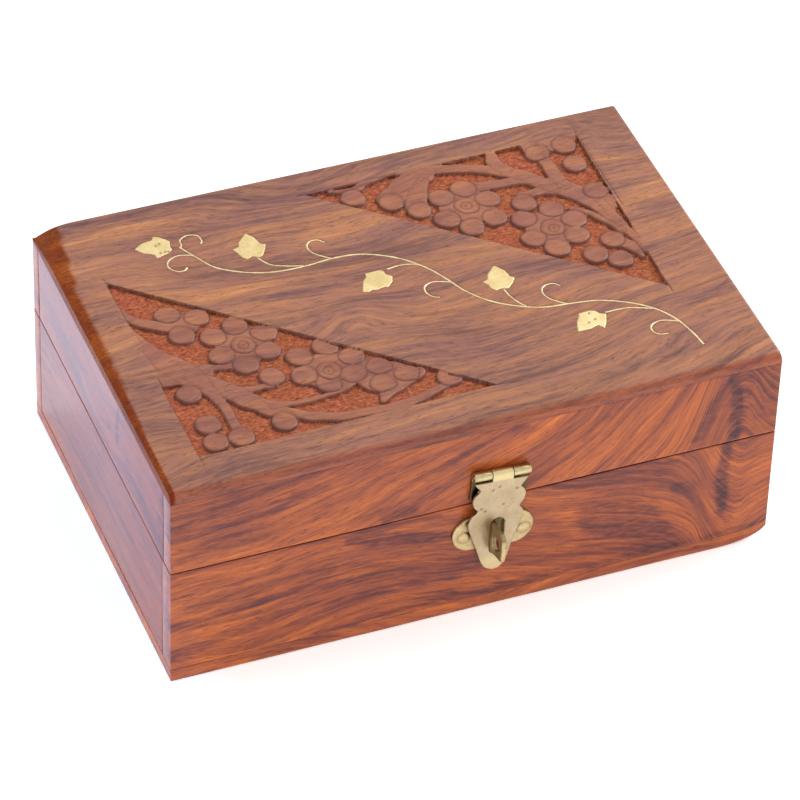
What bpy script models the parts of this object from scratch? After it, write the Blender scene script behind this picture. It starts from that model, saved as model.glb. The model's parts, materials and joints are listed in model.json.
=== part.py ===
"""Inlaid sheesham box with a hinged lid, a carved and brass inlaid top and a hasp.

Frame: origin at the centre of the underside, +X to the right along the front,
+Y to the back, +Z up. The hasp is on the front, at -Y, and the hinges at the back.
"""

import math

import bmesh
import bpy
from mathutils import Matrix, Vector

MM = 0.001

# ---- Driving dimensions, in millimetres ------------------------------------
LENGTH = 152.0
WIDTH = 101.75
HEIGHT = 58.0
SEAM = 33.8                 # height of the middle of the gap under the lid
SEAM_GAP = 0.5
GLUE_GAP = 0.15             # between boards that are glued together
FIT_GAP = 0.3               # between loose pieces
INLAY_GAP = 0.1             # round a brass piece hammered into the top

BASE_THICK = 3.5
BOX_FRONT_BOARD = 6.0
LID_FRONT_BOARD = 5.0
BACK_BOARD = 4.5
END_BOARD = 6.0
TOP_THICK = 6.0
TOP_LIP = 2.8               # what lies over the frame, the rest drops inside it
TOP_ROUND = 2.0             # rounded front edge of the top board, the others less
FOOT_ROUND = 0.8            # eased edges of the base board

# The back left corner of the lid was sanded down to a plane.
WORN_DROP = 2.4             # how far its very corner drops ...
WORN_ALONG_BACK = 6.5       # ... and how far the plane reaches along the back edge
WORN_ALONG_END = 12.0       # ... and along the left edge
WORN_BLOCK = 20.0           # half the side of the block that cuts it

CARVE_DEPTH = 1.0
INLAY_DEPTH = 0.8
WIRE_WIDTH = 0.45

# Hinges and hasp are rolled and pressed from one thickness of sheet.
SHEET = 0.7
SHEET_GAP = 0.15            # between a leaf and the board behind it
BARREL = 1.2                # outer radius of a rolled knuckle
BORE = 0.65
PIN = 0.42
PIN_HEAD = 0.85
NAIL_SHANK = 0.5
NAIL_SHANK_LONG = 3.6
NAIL_ROOM = 0.2             # round a nail's shank
BARREL_OUT = SHEET_GAP + BARREL   # a hinge axis in front of its board

HINGE_X = 46.0              # each back hinge from the middle
HINGE_LONG = 18.0
HINGE_TALL = 8.0

HASP_X = 4.9                # middle of the hasp barrel, right of the middle
HASP_Z = 42.6
HASP_TILT = math.radians(3.8)     # the hasp is nailed on a little crooked
HASP_LONG = 14.2
HASP_LEAF_TALL = 8.0
STAPLE_DROP = 18.3          # from the barrel down to the staple's middle
WAIST = 3.6                 # half the height of the strip between the lobes
LOBE_APART = 5.25
LOBE_RADIUS = 5.0
LUG_THICK = 1.4
LUG_TALL = 8.4
LUG_OUT = 8.6
EYE_RADIUS = 1.6
EYE_IN = 3.6                # from the lug's end in to its eye

# Nail heads: radius and height.
SMALL_HEAD = (1.15, 0.45)
FLAT_HEAD = (0.9, 0.3)
DOME_HEAD = (1.7, 0.85)

ROUND_SIDES = 24

LEFT = -LENGTH / 2
FRONT = -WIDTH / 2
SEAM_LOW = SEAM - SEAM_GAP / 2
SEAM_HIGH = SEAM + SEAM_GAP / 2
LIP_UNDER = HEIGHT - TOP_LIP

# ---- Carving and inlay, in millimetres from the front left corner of the top -
# Two right-angled panels face each other across the vine.
PANEL_FRONT = ((10.6, 10.6), (84.5, 11.8), (10.3, 76.8))
PANEL_BACK = ((138.2, 94.2), (66.5, 92.8), (136.6, 32.0))

# A flower is a button with six petals round it.
FLOWERS_FRONT = (
    ((33.3, 44.8), ((27.5, 43.0), (27.8, 50.0), (34.0, 52.2), (39.6, 47.6), (38.2, 41.0),
                    (31.8, 38.0))),
    ((49.3, 29.7), ((43.2, 30.0), (44.4, 36.6), (51.5, 38.3), (56.0, 33.0), (54.4, 26.8),
                    (47.6, 25.4))),
)
FLOWERS_BACK = (
    ((102.3, 76.4), ((96.0, 73.2), (97.6, 81.2), (103.9, 82.8), (108.3, 77.4), (107.0, 70.2),
                     (100.5, 68.3))),
    ((118.9, 61.8), ((113.6, 67.2), (121.2, 68.6), (125.0, 63.2), (123.3, 57.2),
                     (117.0, 54.2), (113.0, 59.4))),
)
PETAL_RADIUS = 3.2
BUD_RADIUS = 3.1
FLOWER_RADIUS = 6.6         # the standing wood behind the petals
BUDS_FRONT = (
    (15.8, 32.6), (16.4, 20.9), (16.0, 14.6), (22.2, 14.2), (33.3, 16.3), (36.0, 32.0),
    (21.0, 53.0), (20.3, 61.0), (26.6, 58.0), (60.8, 27.4), (59.6, 21.4), (66.0, 23.0),
    (75.0, 18.6),
)
BUDS_BACK = (
    (77.3, 88.1), (85.4, 83.6), (90.9, 78.4), (116.0, 73.0), (124.8, 49.0), (131.0, 53.0),
    (130.0, 45.4), (126.4, 90.0), (133.8, 91.0), (133.6, 83.2), (134.2, 71.6),
)

# A blade is a tapering leaf or stem: x, y and half its width along its middle.
BLADES_FRONT = (
    ((9.9, 64.0, 0.4), (11.0, 54.0, 1.4), (13.4, 47.0, 2.5), (16.5, 41.5, 3.8),
     (18.5, 37.0, 3.0), (20.5, 32.0, 1.6), (22.0, 26.0, 1.2), (22.3, 17.0, 1.3)),
    ((9.8, 67.5, 0.5), (11.4, 63.4, 1.0), (13.8, 60.3, 1.4), (17.4, 57.6, 1.8),
     (21.0, 57.0, 2.2), (26.0, 57.8, 2.2)),
    ((18.0, 41.5, 1.0), (23.0, 39.6, 1.0), (28.5, 38.6, 1.0)),
    ((18.0, 38.0, 1.6), (21.5, 34.5, 2.4), (25.5, 29.6, 2.8), (29.0, 24.8, 2.6),
     (33.0, 22.2, 1.4), (40.0, 21.4, 0.8), (48.0, 21.9, 0.7), (55.0, 24.4, 0.8)),
    ((25.5, 30.8, 1.6), (30.0, 29.6, 1.0), (36.0, 29.4, 0.8)),
    ((29.4, 24.0, 1.8), (31.2, 20.2, 1.2), (35.0, 19.4, 1.2), (39.0, 16.6, 1.5),
     (45.0, 13.8, 1.4), (53.0, 13.1, 1.5), (61.0, 12.9, 1.4), (68.0, 14.3, 1.2),
     (74.0, 16.6, 0.9)),
    ((57.4, 15.8, 0.7), (60.0, 18.2, 1.8), (64.0, 20.6, 2.2), (69.0, 22.4, 1.6)),
)
BLADES_BACK = (
    ((72.5, 92.2, 0.5), (78.5, 91.0, 1.2), (83.0, 92.8, 0.8), (90.0, 94.0, 0.8),
     (98.0, 92.2, 1.6), (106.0, 90.5, 1.5), (113.0, 87.4, 1.6), (118.5, 84.0, 2.0),
     (123.0, 78.5, 2.4), (128.0, 74.5, 3.0), (131.5, 69.0, 2.6), (134.0, 62.0, 1.8),
     (136.0, 54.0, 1.2), (137.0, 46.0, 0.7)),
    ((84.0, 85.0, 1.8), (88.5, 88.0, 2.2), (94.0, 90.2, 1.8), (99.0, 91.6, 1.2)),
    ((90.5, 80.5, 2.6), (93.5, 85.5, 2.2), (95.5, 88.6, 1.6)),
    ((107.0, 82.4, 1.6), (113.0, 82.0, 1.4), (119.0, 81.2, 1.6), (123.5, 78.5, 1.6)),
    ((114.9, 95.6, 0.4), (115.2, 92.6, 1.6), (114.9, 89.6, 1.9), (116.4, 86.2, 1.8)),
    ((127.0, 88.5, 1.4), (127.2, 82.0, 1.8), (127.8, 76.0, 1.8)),
    ((116.5, 75.4, 1.6), (121.0, 75.8, 1.4), (126.0, 74.8, 1.8)),
    ((126.0, 67.0, 0.7), (129.0, 64.6, 0.9), (131.5, 61.0, 0.9), (134.6, 55.0, 0.8)),
    ((131.2, 52.6, 2.0), (134.0, 49.4, 1.6), (135.4, 45.0, 0.7)),
    ((134.2, 71.0, 2.6), (134.4, 66.5, 1.8), (134.6, 62.0, 1.2)),
)

# Standing wood between the cuts, as outlines.
FILLS_FRONT = (
    ((9.6, 66.0), (11.2, 57.5), (13.2, 51.6), (16.0, 46.6), (19.5, 42.8), (24.5, 40.4),
     (23.0, 36.8), (18.0, 36.6), (9.6, 36.6)),
    ((54.5, 30.4), (60.8, 30.4), (66.4, 26.6), (69.6, 21.6), (65.0, 18.6), (59.6, 17.4),
     (55.6, 20.6), (53.0, 25.0)),
    ((20.3, 61.0), (26.6, 60.8), (29.2, 57.5), (24.5, 53.2), (20.5, 55.0)),
)
FILLS_BACK = (
    ((123.5, 94.6), (138.6, 94.6), (137.0, 91.5), (130.0, 89.5), (123.5, 91.0)),
    ((130.5, 74.4), (137.0, 74.4), (136.8, 64.0), (131.5, 66.0)),
    ((84.0, 86.0), (88.0, 91.0), (96.0, 94.6), (101.0, 92.2), (98.0, 88.5), (92.0, 85.5),
     (88.0, 82.0)),
)

# The vine is one wire, with stalks to four leaves and six curled tendrils.
VINE = (
    (31.2, 83.7), (33.7, 79.0), (36.4, 74.2), (40.0, 71.3), (44.5, 69.0), (50.0, 67.5),
    (57.0, 67.2), (64.0, 67.8), (70.0, 67.4), (75.0, 65.5), (80.0, 62.1), (84.2, 57.4),
    (87.2, 52.0), (90.0, 45.9), (94.0, 40.8), (99.0, 37.1), (105.0, 34.4), (112.0, 33.5),
    (118.5, 32.4), (125.0, 29.3), (130.0, 25.2), (133.2, 20.2), (135.0, 14.0), (135.7, 9.3),
)
STALKS = (
    ((47.5, 73.3), (49.4, 70.6), (52.5, 68.9)),
    ((75.2, 59.7), (78.6, 60.1), (82.0, 59.4)),
    ((98.8, 43.4), (99.3, 40.6), (100.6, 37.4)),
    ((118.9, 27.8), (123.4, 27.7), (127.8, 26.2)),
)
TENDRILS = (
    ((31.9, 83.8), (32.2, 86.2), (34.3, 87.4), (36.6, 86.6), (37.1, 84.6), (36.5, 83.2)),
    ((32.7, 79.9), (29.6, 80.8), (27.0, 79.6), (26.3, 77.4), (27.6, 75.4), (29.4, 75.0),
     (30.5, 75.9)),
    ((62.9, 68.9), (60.7, 71.2), (60.1, 73.7), (61.2, 75.5), (63.3, 75.6), (64.8, 74.0)),
    ((87.1, 50.3), (84.0, 51.7), (81.5, 50.8), (80.9, 48.6), (81.9, 46.6), (83.4, 45.8)),
    ((109.9, 34.6), (107.6, 37.1), (107.1, 39.8), (108.3, 41.6), (110.6, 41.8), (112.1, 40.4)),
    ((132.9, 19.3), (129.8, 20.7), (127.2, 20.1), (126.2, 18.2), (127.2, 16.3), (129.4, 15.8)),
)
LEAVES = (
    ((21.0, 86.4), (23.1, 87.9), (25.9, 88.3), (26.6, 89.5), (28.0, 88.6), (29.7, 86.6),
     (29.1, 84.8), (29.2, 83.5), (28.4, 82.7), (25.0, 81.6), (24.8, 83.1), (22.5, 84.4)),
    ((47.9, 83.4), (49.2, 81.5), (49.9, 78.6), (51.1, 78.2), (50.2, 76.3), (49.0, 74.4),
     (48.1, 74.1), (46.6, 74.9), (45.1, 74.3), (44.3, 75.2), (43.8, 77.0), (43.1, 78.7),
     (44.8, 79.1), (45.3, 80.8)),
    ((66.9, 53.7), (68.1, 53.3), (69.2, 53.7), (70.4, 53.4), (72.4, 53.9), (73.1, 53.5),
     (74.8, 55.2), (75.4, 56.8), (74.2, 58.1), (74.1, 59.3), (73.4, 59.9), (69.8, 59.8),
     (69.7, 58.6), (68.4, 57.3)),
    ((99.9, 52.5), (101.6, 50.0), (101.9, 47.6), (102.9, 46.9), (101.6, 45.2), (100.0, 43.7),
     (98.5, 44.2), (97.0, 43.9), (96.2, 45.2), (96.0, 46.5), (95.2, 47.7), (96.6, 48.2),
     (97.3, 49.9)),
    ((109.6, 23.4), (112.5, 23.4), (115.0, 24.2), (116.0, 22.7), (117.1, 24.4), (118.2, 27.2),
     (116.8, 27.9), (116.2, 29.0), (115.2, 29.5), (112.3, 29.4), (111.9, 28.3), (110.7, 26.6)),
)

# Outline of the hasp flap below its barrel: sideways, and down from the barrel's axis.
FLAP_LEFT = (
    (-7.0, 0.9), (-6.5, 2.2), (-5.3, 3.9), (-6.5, 5.5), (-6.9, 7.2), (-6.2, 9.0),
    (-5.3, 10.1), (-6.7, 11.7), (-7.3, 13.7), (-7.1, 15.4), (-5.0, 20.8), (-2.9, 26.3),
    (-1.6, 28.2), (0.2, 29.1),
)
FLAP_RIGHT = (
    (1.7, 28.8), (3.0, 27.2), (3.7, 24.8), (4.6, 20.4), (5.8, 16.0), (6.5, 13.4),
    (6.2, 11.6), (5.2, 10.2), (6.1, 8.6), (6.4, 6.6), (5.8, 5.1), (5.0, 4.2),
    (5.8, 2.8), (6.8, 0.9),
)
SLOT_TOP = 13.2
SLOT_BOTTOM = 24.4
SLOT_HALF = 1.7
KNUCKLE_GAP = 0.2
MIDDLE_KNUCKLE = 5.2


# ---- Helpers ----------------------------------------------------------------
def clear_scene():
    for old in list(bpy.data.objects):
        bpy.data.objects.remove(old, do_unlink=True)


def collection(name, hidden=False):
    made = bpy.data.collections.new(name)
    bpy.context.scene.collection.children.link(made)
    made.hide_render = hidden
    return made


clear_scene()
PARTS = collection("inlaid_wooden_box")
CUTTERS = collection("cutters", hidden=True)


def material(name, colour, roughness, metallic=0.0):
    made = bpy.data.materials.new(name)
    made.use_nodes = True
    shader = made.node_tree.nodes["Principled BSDF"]
    shader.inputs["Base Color"].default_value = (*colour, 1.0)
    shader.inputs["Roughness"].default_value = roughness
    shader.inputs["Metallic"].default_value = metallic
    return made


WOOD = (0.34, 0.13, 0.06)
WOOD_TOP = (0.36, 0.17, 0.10)
BRASS = (0.72, 0.55, 0.27)
PALE_BRASS = (0.86, 0.77, 0.46)


def new_object(name, mesh, where=PARTS):
    made = bpy.data.objects.new(name, mesh)
    where.objects.link(made)
    if where is CUTTERS:
        made.hide_render = True
        made.display_type = "WIRE"
    return made


def paint(piece, colour, roughness, metallic=0.0):
    piece.data.materials.clear()
    piece.data.materials.append(material(piece.name, colour, roughness, metallic))
    return piece


def block(name, low, high, where=PARTS):
    """A box between two corners, its origin at its middle."""
    low = Vector(low) * MM
    high = Vector(high) * MM
    bm = bmesh.new()
    bmesh.ops.create_cube(bm, size=1.0, matrix=Matrix.Diagonal((*(high - low), 1.0)))
    mesh = bpy.data.meshes.new(name)
    bm.to_mesh(mesh)
    bm.free()
    made = new_object(name, mesh, where)
    made.location = (low + high) / 2
    return made


def rod(name, radius, low, high, axis="X", where=PARTS, centre=(0.0, 0.0), sides=ROUND_SIDES):
    """A cylinder along an axis, from low to high, round centre in the other two axes."""
    bm = bmesh.new()
    bmesh.ops.create_cone(
        bm, cap_ends=True, segments=sides, radius1=radius * MM, radius2=radius * MM,
        depth=(high - low) * MM,
    )
    middle = (low + high) / 2
    turn = {"X": Matrix.Rotation(math.pi / 2, 4, "Y"),
            "Y": Matrix.Rotation(math.pi / 2, 4, "X"),
            "Z": Matrix.Identity(4)}[axis]
    place = {"X": (middle, *centre),
             "Y": (centre[0], middle, centre[1]),
             "Z": (*centre, middle)}[axis]
    bmesh.ops.transform(bm, matrix=Matrix.Translation(Vector(place) * MM) @ turn, verts=bm.verts)
    mesh = bpy.data.meshes.new(name)
    bm.to_mesh(mesh)
    bm.free()
    made = new_object(name, mesh, where)
    made.data.shade_smooth()
    made.data.set_sharp_from_angle(angle=math.radians(40))
    return made


def flat_outline(name, points, low, high, where=PARTS):
    """A flat outline in X and Y, as thick as low to high, as a mesh with welded caps."""
    curve = bpy.data.curves.new(name, "CURVE")
    curve.dimensions = "2D"
    curve.fill_mode = "BOTH"
    curve.extrude = (high - low) / 2 * MM
    spline = curve.splines.new("POLY")
    spline.points.add(len(points) - 1)
    for point, (x, y) in zip(spline.points, points):
        point.co = (x * MM, y * MM, 0.0, 1.0)
    spline.use_cyclic_u = True
    drawn = bpy.data.objects.new(name + "_curve", curve)
    PARTS.objects.link(drawn)
    drawn.location.z = (low + high) / 2 * MM
    graph = bpy.context.evaluated_depsgraph_get()
    mesh = bpy.data.meshes.new_from_object(drawn.evaluated_get(graph))
    place = drawn.matrix_world.copy()
    bm = bmesh.new()
    bm.from_mesh(mesh)
    bmesh.ops.remove_doubles(bm, verts=bm.verts, dist=0.00001)
    bmesh.ops.recalc_face_normals(bm, faces=bm.faces)
    bm.to_mesh(mesh)
    bm.free()
    bpy.data.objects.remove(drawn, do_unlink=True)
    made = new_object(name, mesh, where)
    made.matrix_world = place
    return made


def boolean(piece, other, operation):
    """Adds a Boolean with one object, made in the piece's frame, or with a collection."""
    modifier = piece.modifiers.new(operation.lower(), "BOOLEAN")
    modifier.operation = operation
    if isinstance(other, bpy.types.Collection):
        modifier.operand_type = "COLLECTION"
        modifier.collection = other
    else:
        modifier.object = other
        other.parent = other.parent or piece.parent
    return piece


def cut(piece, *cutters):
    for cutter in cutters:
        boolean(piece, cutter, "DIFFERENCE")
    return piece


def join(piece, *others):
    for other in others:
        boolean(piece, other, "UNION")
    return piece


def bevel(piece, width, segments, limit=math.radians(60)):
    modifier = piece.modifiers.new("bevel", "BEVEL")
    modifier.width = width * MM
    modifier.segments = segments
    modifier.limit_method = "ANGLE"
    modifier.angle_limit = limit
    return piece


def smooth_line(points, steps):
    """Points along a Catmull-Rom curve through points of any dimension."""
    points = [Vector(p) for p in points]
    ends = [2 * points[0] - points[1], *points, 2 * points[-1] - points[-2]]
    line = []
    for a, b, c, d in zip(ends, ends[1:], ends[2:], ends[3:]):
        for step in range(steps):
            t = step / steps
            line.append(0.5 * (2 * b + (c - a) * t + (2 * a - 5 * b + 4 * c - d) * t * t
                               + (3 * b - a - 3 * c + d) * t ** 3))
    line.append(points[-1])
    return line


def on_top(points):
    """From the front left corner of the top to the frame's own X and Y."""
    return [(p[0] + LEFT, p[1] + FRONT) for p in points]


def circle(centre, radius, sides):
    angles = [2 * math.pi * (i + 0.5) / sides for i in range(sides)]
    return [(centre[0] + radius * math.cos(a), centre[1] + radius * math.sin(a)) for a in angles]


def blade_outline(blade, steps=2):
    """The closed outline of a stem whose half width changes along it."""
    line = smooth_line(blade, steps)
    sides = ([], [])
    for i, point in enumerate(line):
        ahead = line[min(i + 1, len(line) - 1)] - line[max(i - 1, 0)]
        across = Vector((-ahead.y, ahead.x)).normalized() * point.z
        sides[0].append((point.x + across.x, point.y + across.y))
        sides[1].append((point.x - across.x, point.y - across.y))
    return sides[0] + sides[1][::-1]


# ---- The sanded corner and the carving cutters -------------------------------
def wear_cutter():
    """A block whose lower face is the plane that the back left corner was sanded to."""
    made = block("wear_cutter", (-WORN_BLOCK, -WORN_BLOCK, -WORN_BLOCK),
                 (WORN_BLOCK, WORN_BLOCK, WORN_BLOCK), CUTTERS)
    corner = Vector((LEFT, -FRONT, HEIGHT - WORN_DROP)) * MM
    along_back = Vector((WORN_ALONG_BACK, 0.0, WORN_DROP)).normalized()
    along_end = Vector((0.0, -WORN_ALONG_END, WORN_DROP)).normalized()
    up = along_end.cross(along_back).normalized()
    across = up.cross(along_back)
    turn = Matrix((along_back, across, up)).transposed().to_4x4()
    lift = Matrix.Translation((0.0, 0.0, WORN_BLOCK * MM))
    made.matrix_world = Matrix.Translation(corner) @ turn @ lift
    return made


def panel_cutter(name, panel, flowers, buds, blades, fills):
    """The wood that the carver takes out of one panel, round its petals and leaves."""
    low = HEIGHT - CARVE_DEPTH
    raised = bpy.data.collections.new(name + "_raised")
    CUTTERS.children.link(raised)
    ground = flat_outline(name, on_top(panel), low, HEIGHT + 3.0, CUTTERS)
    outlines = [circle(centre, BUD_RADIUS, 14) for centre in buds]
    for middle, petals in flowers:
        outlines += [circle(centre, PETAL_RADIUS, 14) for centre in petals]
        outlines.append(circle(middle, FLOWER_RADIUS, 20))
    outlines += [blade_outline(blade) for blade in blades]
    outlines += fills
    for i, outline in enumerate(outlines):
        piece = flat_outline(f"{name}_{i}", on_top(outline), low - 1.0, HEIGHT + 4.0, CUTTERS)
        CUTTERS.objects.unlink(piece)
        raised.objects.link(piece)
    return boolean(ground, raised, "DIFFERENCE")


def ribbon(name, line, width, low, high, where=PARTS):
    """A strip on edge along a line in X and Y."""
    bm = bmesh.new()
    verts = [bm.verts.new((x * MM, y * MM, low * MM)) for x, y in line]
    edges = [bm.edges.new(pair) for pair in zip(verts, verts[1:])]
    grown = bmesh.ops.extrude_edge_only(bm, edges=edges)["geom"]
    top = [v for v in grown if isinstance(v, bmesh.types.BMVert)]
    bmesh.ops.translate(bm, vec=(0.0, 0.0, (high - low) * MM), verts=top)
    bmesh.ops.recalc_face_normals(bm, faces=bm.faces)
    mesh = bpy.data.meshes.new(name)
    bm.to_mesh(mesh)
    bm.free()
    made = new_object(name, mesh, where)
    wall = made.modifiers.new("wall", "SOLIDIFY")
    wall.thickness = width * MM
    wall.offset = 0.0
    wall.use_even_offset = True
    return made


def wire(name, points, lid_top):
    """One inlaid wire, and the groove for it in the top board."""
    line = on_top(smooth_line(points, 2))
    low = HEIGHT - INLAY_DEPTH
    piece = ribbon(name, line, WIRE_WIDTH, low + INLAY_GAP, HEIGHT)
    first = Vector(line[0]) + (Vector(line[0]) - Vector(line[1])).normalized() * INLAY_GAP
    last = Vector(line[-1]) + (Vector(line[-1]) - Vector(line[-2])).normalized() * INLAY_GAP
    groove = ribbon(name + "_groove", [first, *line[1:-1], last], WIRE_WIDTH + 2 * INLAY_GAP,
                    low, HEIGHT + 1.0, CUTTERS)
    cut(lid_top, groove)
    return paint(piece, PALE_BRASS, 0.35, 1.0)


def inlaid_leaf(name, outline, lid_top):
    """One inlaid leaf, and the pocket for it in the top board."""
    middle = sum((Vector(p) for p in outline), Vector((0.0, 0.0))) / len(outline)
    span = max((Vector(p) - middle).length for p in outline)
    grow = 1 + 2 * INLAY_GAP / span
    wider = [middle + (Vector(p) - middle) * grow for p in outline]
    low = HEIGHT - INLAY_DEPTH
    piece = flat_outline(name, on_top(outline), low + INLAY_GAP, HEIGHT)
    cut(lid_top, flat_outline(name + "_pocket", on_top(wider), low, HEIGHT + 1.0, CUTTERS))
    return paint(piece, PALE_BRASS, 0.35, 1.0)


# ---- Boards -------------------------------------------------------------------
def frame_boards(prefix, low, high, front_board):
    """Front and back run the full length, and the two ends stand between them."""
    front_in = FRONT + front_board
    back_in = -FRONT - BACK_BOARD
    corners = {
        "front": ((LEFT, FRONT), (-LEFT, front_in)),
        "back": ((LEFT, back_in), (-LEFT, -FRONT)),
        "left_end": ((LEFT, front_in + GLUE_GAP), (LEFT + END_BOARD, back_in - GLUE_GAP)),
        "right_end": ((-LEFT - END_BOARD, front_in + GLUE_GAP), (-LEFT, back_in - GLUE_GAP)),
    }
    made = {}
    for side, (near, far) in corners.items():
        board = block(f"{prefix}_{side}", (*near, low), (*far, high))
        made[side] = paint(board, WOOD, 0.35)
    return made


def base_board():
    board = block("base_board", (LEFT, FRONT, 0.0), (-LEFT, -FRONT, BASE_THICK))
    bevel(board, FOOT_ROUND, 2)
    return paint(board, WOOD, 0.4)


def top_board(wear, panels):
    """The carved board: a lip over the frame, and a thicker middle that drops into it."""
    lip = block("lid_top", (LEFT, FRONT, LIP_UNDER), (-LEFT, -FRONT, HEIGHT))
    weights = lip.data.attributes.new("bevel_weight_edge", "FLOAT", "EDGE")
    for edge in lip.data.edges:
        ends = [lip.data.vertices[i].co for i in edge.vertices]
        if min(v.z for v in ends) < 0:
            continue
        middle = (ends[0] + ends[1]) / 2
        weight = 0.35 if middle.y > 0 else 1.0
        if abs(middle.x) > abs(middle.y):
            weight = 0.45 if middle.x > 0 else 0.2
        weights.data[edge.index].value = weight
    rounding = lip.modifiers.new("rounding", "BEVEL")
    rounding.limit_method = "WEIGHT"
    rounding.width = TOP_ROUND * MM
    rounding.segments = 4
    inside = block(
        "lid_top_drop",
        (LEFT + END_BOARD + FIT_GAP, FRONT + LID_FRONT_BOARD + FIT_GAP, HEIGHT - TOP_THICK),
        (-LEFT - END_BOARD - FIT_GAP, -FRONT - BACK_BOARD - FIT_GAP, LIP_UNDER + 0.5), CUTTERS)
    join(lip, inside)
    cut(lip, wear, *panels)
    return paint(lip, WOOD_TOP, 0.35)


# ---- Hardware -----------------------------------------------------------------
# Each piece of hardware is made round its barrel's axis, in the frame of an empty:
# X along the barrel, Y into the board behind it, whose face is at Y = BARREL_OUT.
def frame_at(name, place, turn=0.0, about_z=0.0):
    made = bpy.data.objects.new(name, None)
    PARTS.objects.link(made)
    made.location = Vector(place) * MM
    made.rotation_euler = (0.0, turn, about_z)
    return made


def into(frame, piece):
    piece.parent = frame
    return piece


def nail(name, head_radius, head_tall, frame, across, up):
    """A domed nail through a leaf: its profile runs down the outside, turned round its shank."""
    steps = 5
    under = SHEET_GAP + SHEET + 0.05
    dome = [(head_radius * math.sin(a), under + head_tall * math.cos(a))
            for a in (math.pi / 2 * i / steps for i in range(steps + 1))]
    tip = under - NAIL_SHANK_LONG
    profile = [*dome, (NAIL_SHANK, under), (NAIL_SHANK, tip + 0.6), (0.0, tip)]
    bm = bmesh.new()
    verts = [bm.verts.new((r * MM, 0.0, z * MM)) for r, z in profile]
    for pair in zip(verts, verts[1:]):
        bm.edges.new(pair)
    mesh = bpy.data.meshes.new(name)
    bm.to_mesh(mesh)
    bm.free()
    made = into(frame, new_object(name, mesh))
    screw = made.modifiers.new("turned", "SCREW")
    screw.steps = 12
    screw.render_steps = 12
    screw.use_merge_vertices = True
    screw.merge_threshold = 0.00001
    made.location = Vector((across, BARREL_OUT, up)) * MM
    made.rotation_euler.x = math.pi / 2
    return paint(made, BRASS, 0.3, 1.0)


def nailed(name, head, frame, across, up, leaf, board):
    """A nail, and its hole through the leaf and into the board."""
    nail(name, *head, frame, across, up)
    hole = rod(f"hole_{name}", NAIL_SHANK + NAIL_ROOM, BARREL_OUT - 2.0,
               BARREL_OUT + NAIL_SHANK_LONG, "Y", CUTTERS, (across, up), 12)
    into(frame, hole)
    cut(leaf, hole)
    cut(board, hole)


def knuckles(sheet, spans, others):
    """Rolled knuckles along X, a bore for the pin, and room for the other leaf's knuckles."""
    room = BARREL + FIT_GAP
    for i, (low, high) in enumerate(others):
        cut(sheet, block(f"{sheet.name}_room_{i}", (low - KNUCKLE_GAP, -room, -room),
                         (high + KNUCKLE_GAP, room, room), CUTTERS))
    for i, (low, high) in enumerate(spans):
        join(sheet, rod(f"{sheet.name}_roll_{i}", BARREL, low, high, where=CUTTERS))
    return cut(sheet, rod(f"{sheet.name}_bore", BORE, -HINGE_LONG, HINGE_LONG, where=CUTTERS,
                          sides=12))


def riveted_pin(name, half, frame):
    """A rod with a small head at each end."""
    made = into(frame, rod(name, PIN, -half - 2 * FIT_GAP, half + 2 * FIT_GAP, sides=12))
    for side in (-1, 1):
        low, high = sorted((side * (half + FIT_GAP), side * (half + 3 * FIT_GAP)))
        join(made, rod(f"{name}_head_{side}", PIN_HEAD, low, high, where=CUTTERS, sides=12))
    return paint(made, BRASS, 0.35, 1.0)


def back_hinge(side, x, lid_back, box_back):
    """A butt hinge on the back: two leaves, a pin and four nails. It returns the lid's frame."""
    name = f"back_hinge_{side}"
    place = (x, -FRONT + BARREL_OUT, SEAM)
    frames = {"lid": frame_at(f"{name}_lid", place, about_z=math.pi),
              "box": frame_at(f"{name}_box", place, about_z=math.pi)}
    half = HINGE_LONG / 2
    fifth = HINGE_LONG / 5
    gap = KNUCKLE_GAP / 2
    edges = [(-half + i * fifth, -half + (i + 1) * fifth) for i in range(5)]
    spans = [(low + gap * (low > -half), high - gap * (high < half)) for low, high in edges]
    for end, up, board in (("lid", 1, lid_back), ("box", -1, box_back)):
        mine = spans[1::2] if up > 0 else spans[0::2]
        others = spans[0::2] if up > 0 else spans[1::2]
        low, high = sorted((up * HINGE_TALL, 0.0))
        leaf = into(frames[end], block(f"{name}_{end}_leaf", (-half, BARREL - SHEET, low),
                                       (half, BARREL, high)))
        knuckles(leaf, mine, others)
        paint(leaf, BRASS, 0.35, 1.0)
        for i, across in enumerate((-half * 0.6, half * 0.6)):
            nailed(f"{name}_{end}_nail_{i + 1}", SMALL_HEAD, frames[end], across,
                   up * (HINGE_TALL - 2.6), leaf, board)
    riveted_pin(f"{name}_pin", half, frames["box"])
    return frames["lid"]


def upright(piece):
    """Stands a flat outline up: its X stays, its Y becomes Z and its thickness runs in Y."""
    piece.data.transform(piece.matrix_world)
    piece.matrix_world = Matrix.Identity(4)
    piece.data.transform(Matrix.Rotation(math.pi / 2, 4, "X"))
    return piece


def slot_outline():
    """A long slot with round ends, a little wider at its top."""
    arc = [math.pi * i / 6 for i in range(7)]
    top = [(0.3 - SLOT_HALF * math.cos(a), -SLOT_TOP - SLOT_HALF * (1 - math.sin(a)))
           for a in arc]
    low = [(0.6 + SLOT_HALF * math.cos(a), -SLOT_BOTTOM + SLOT_HALF * (1 - math.sin(a)))
           for a in arc]
    return top + low


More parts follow.
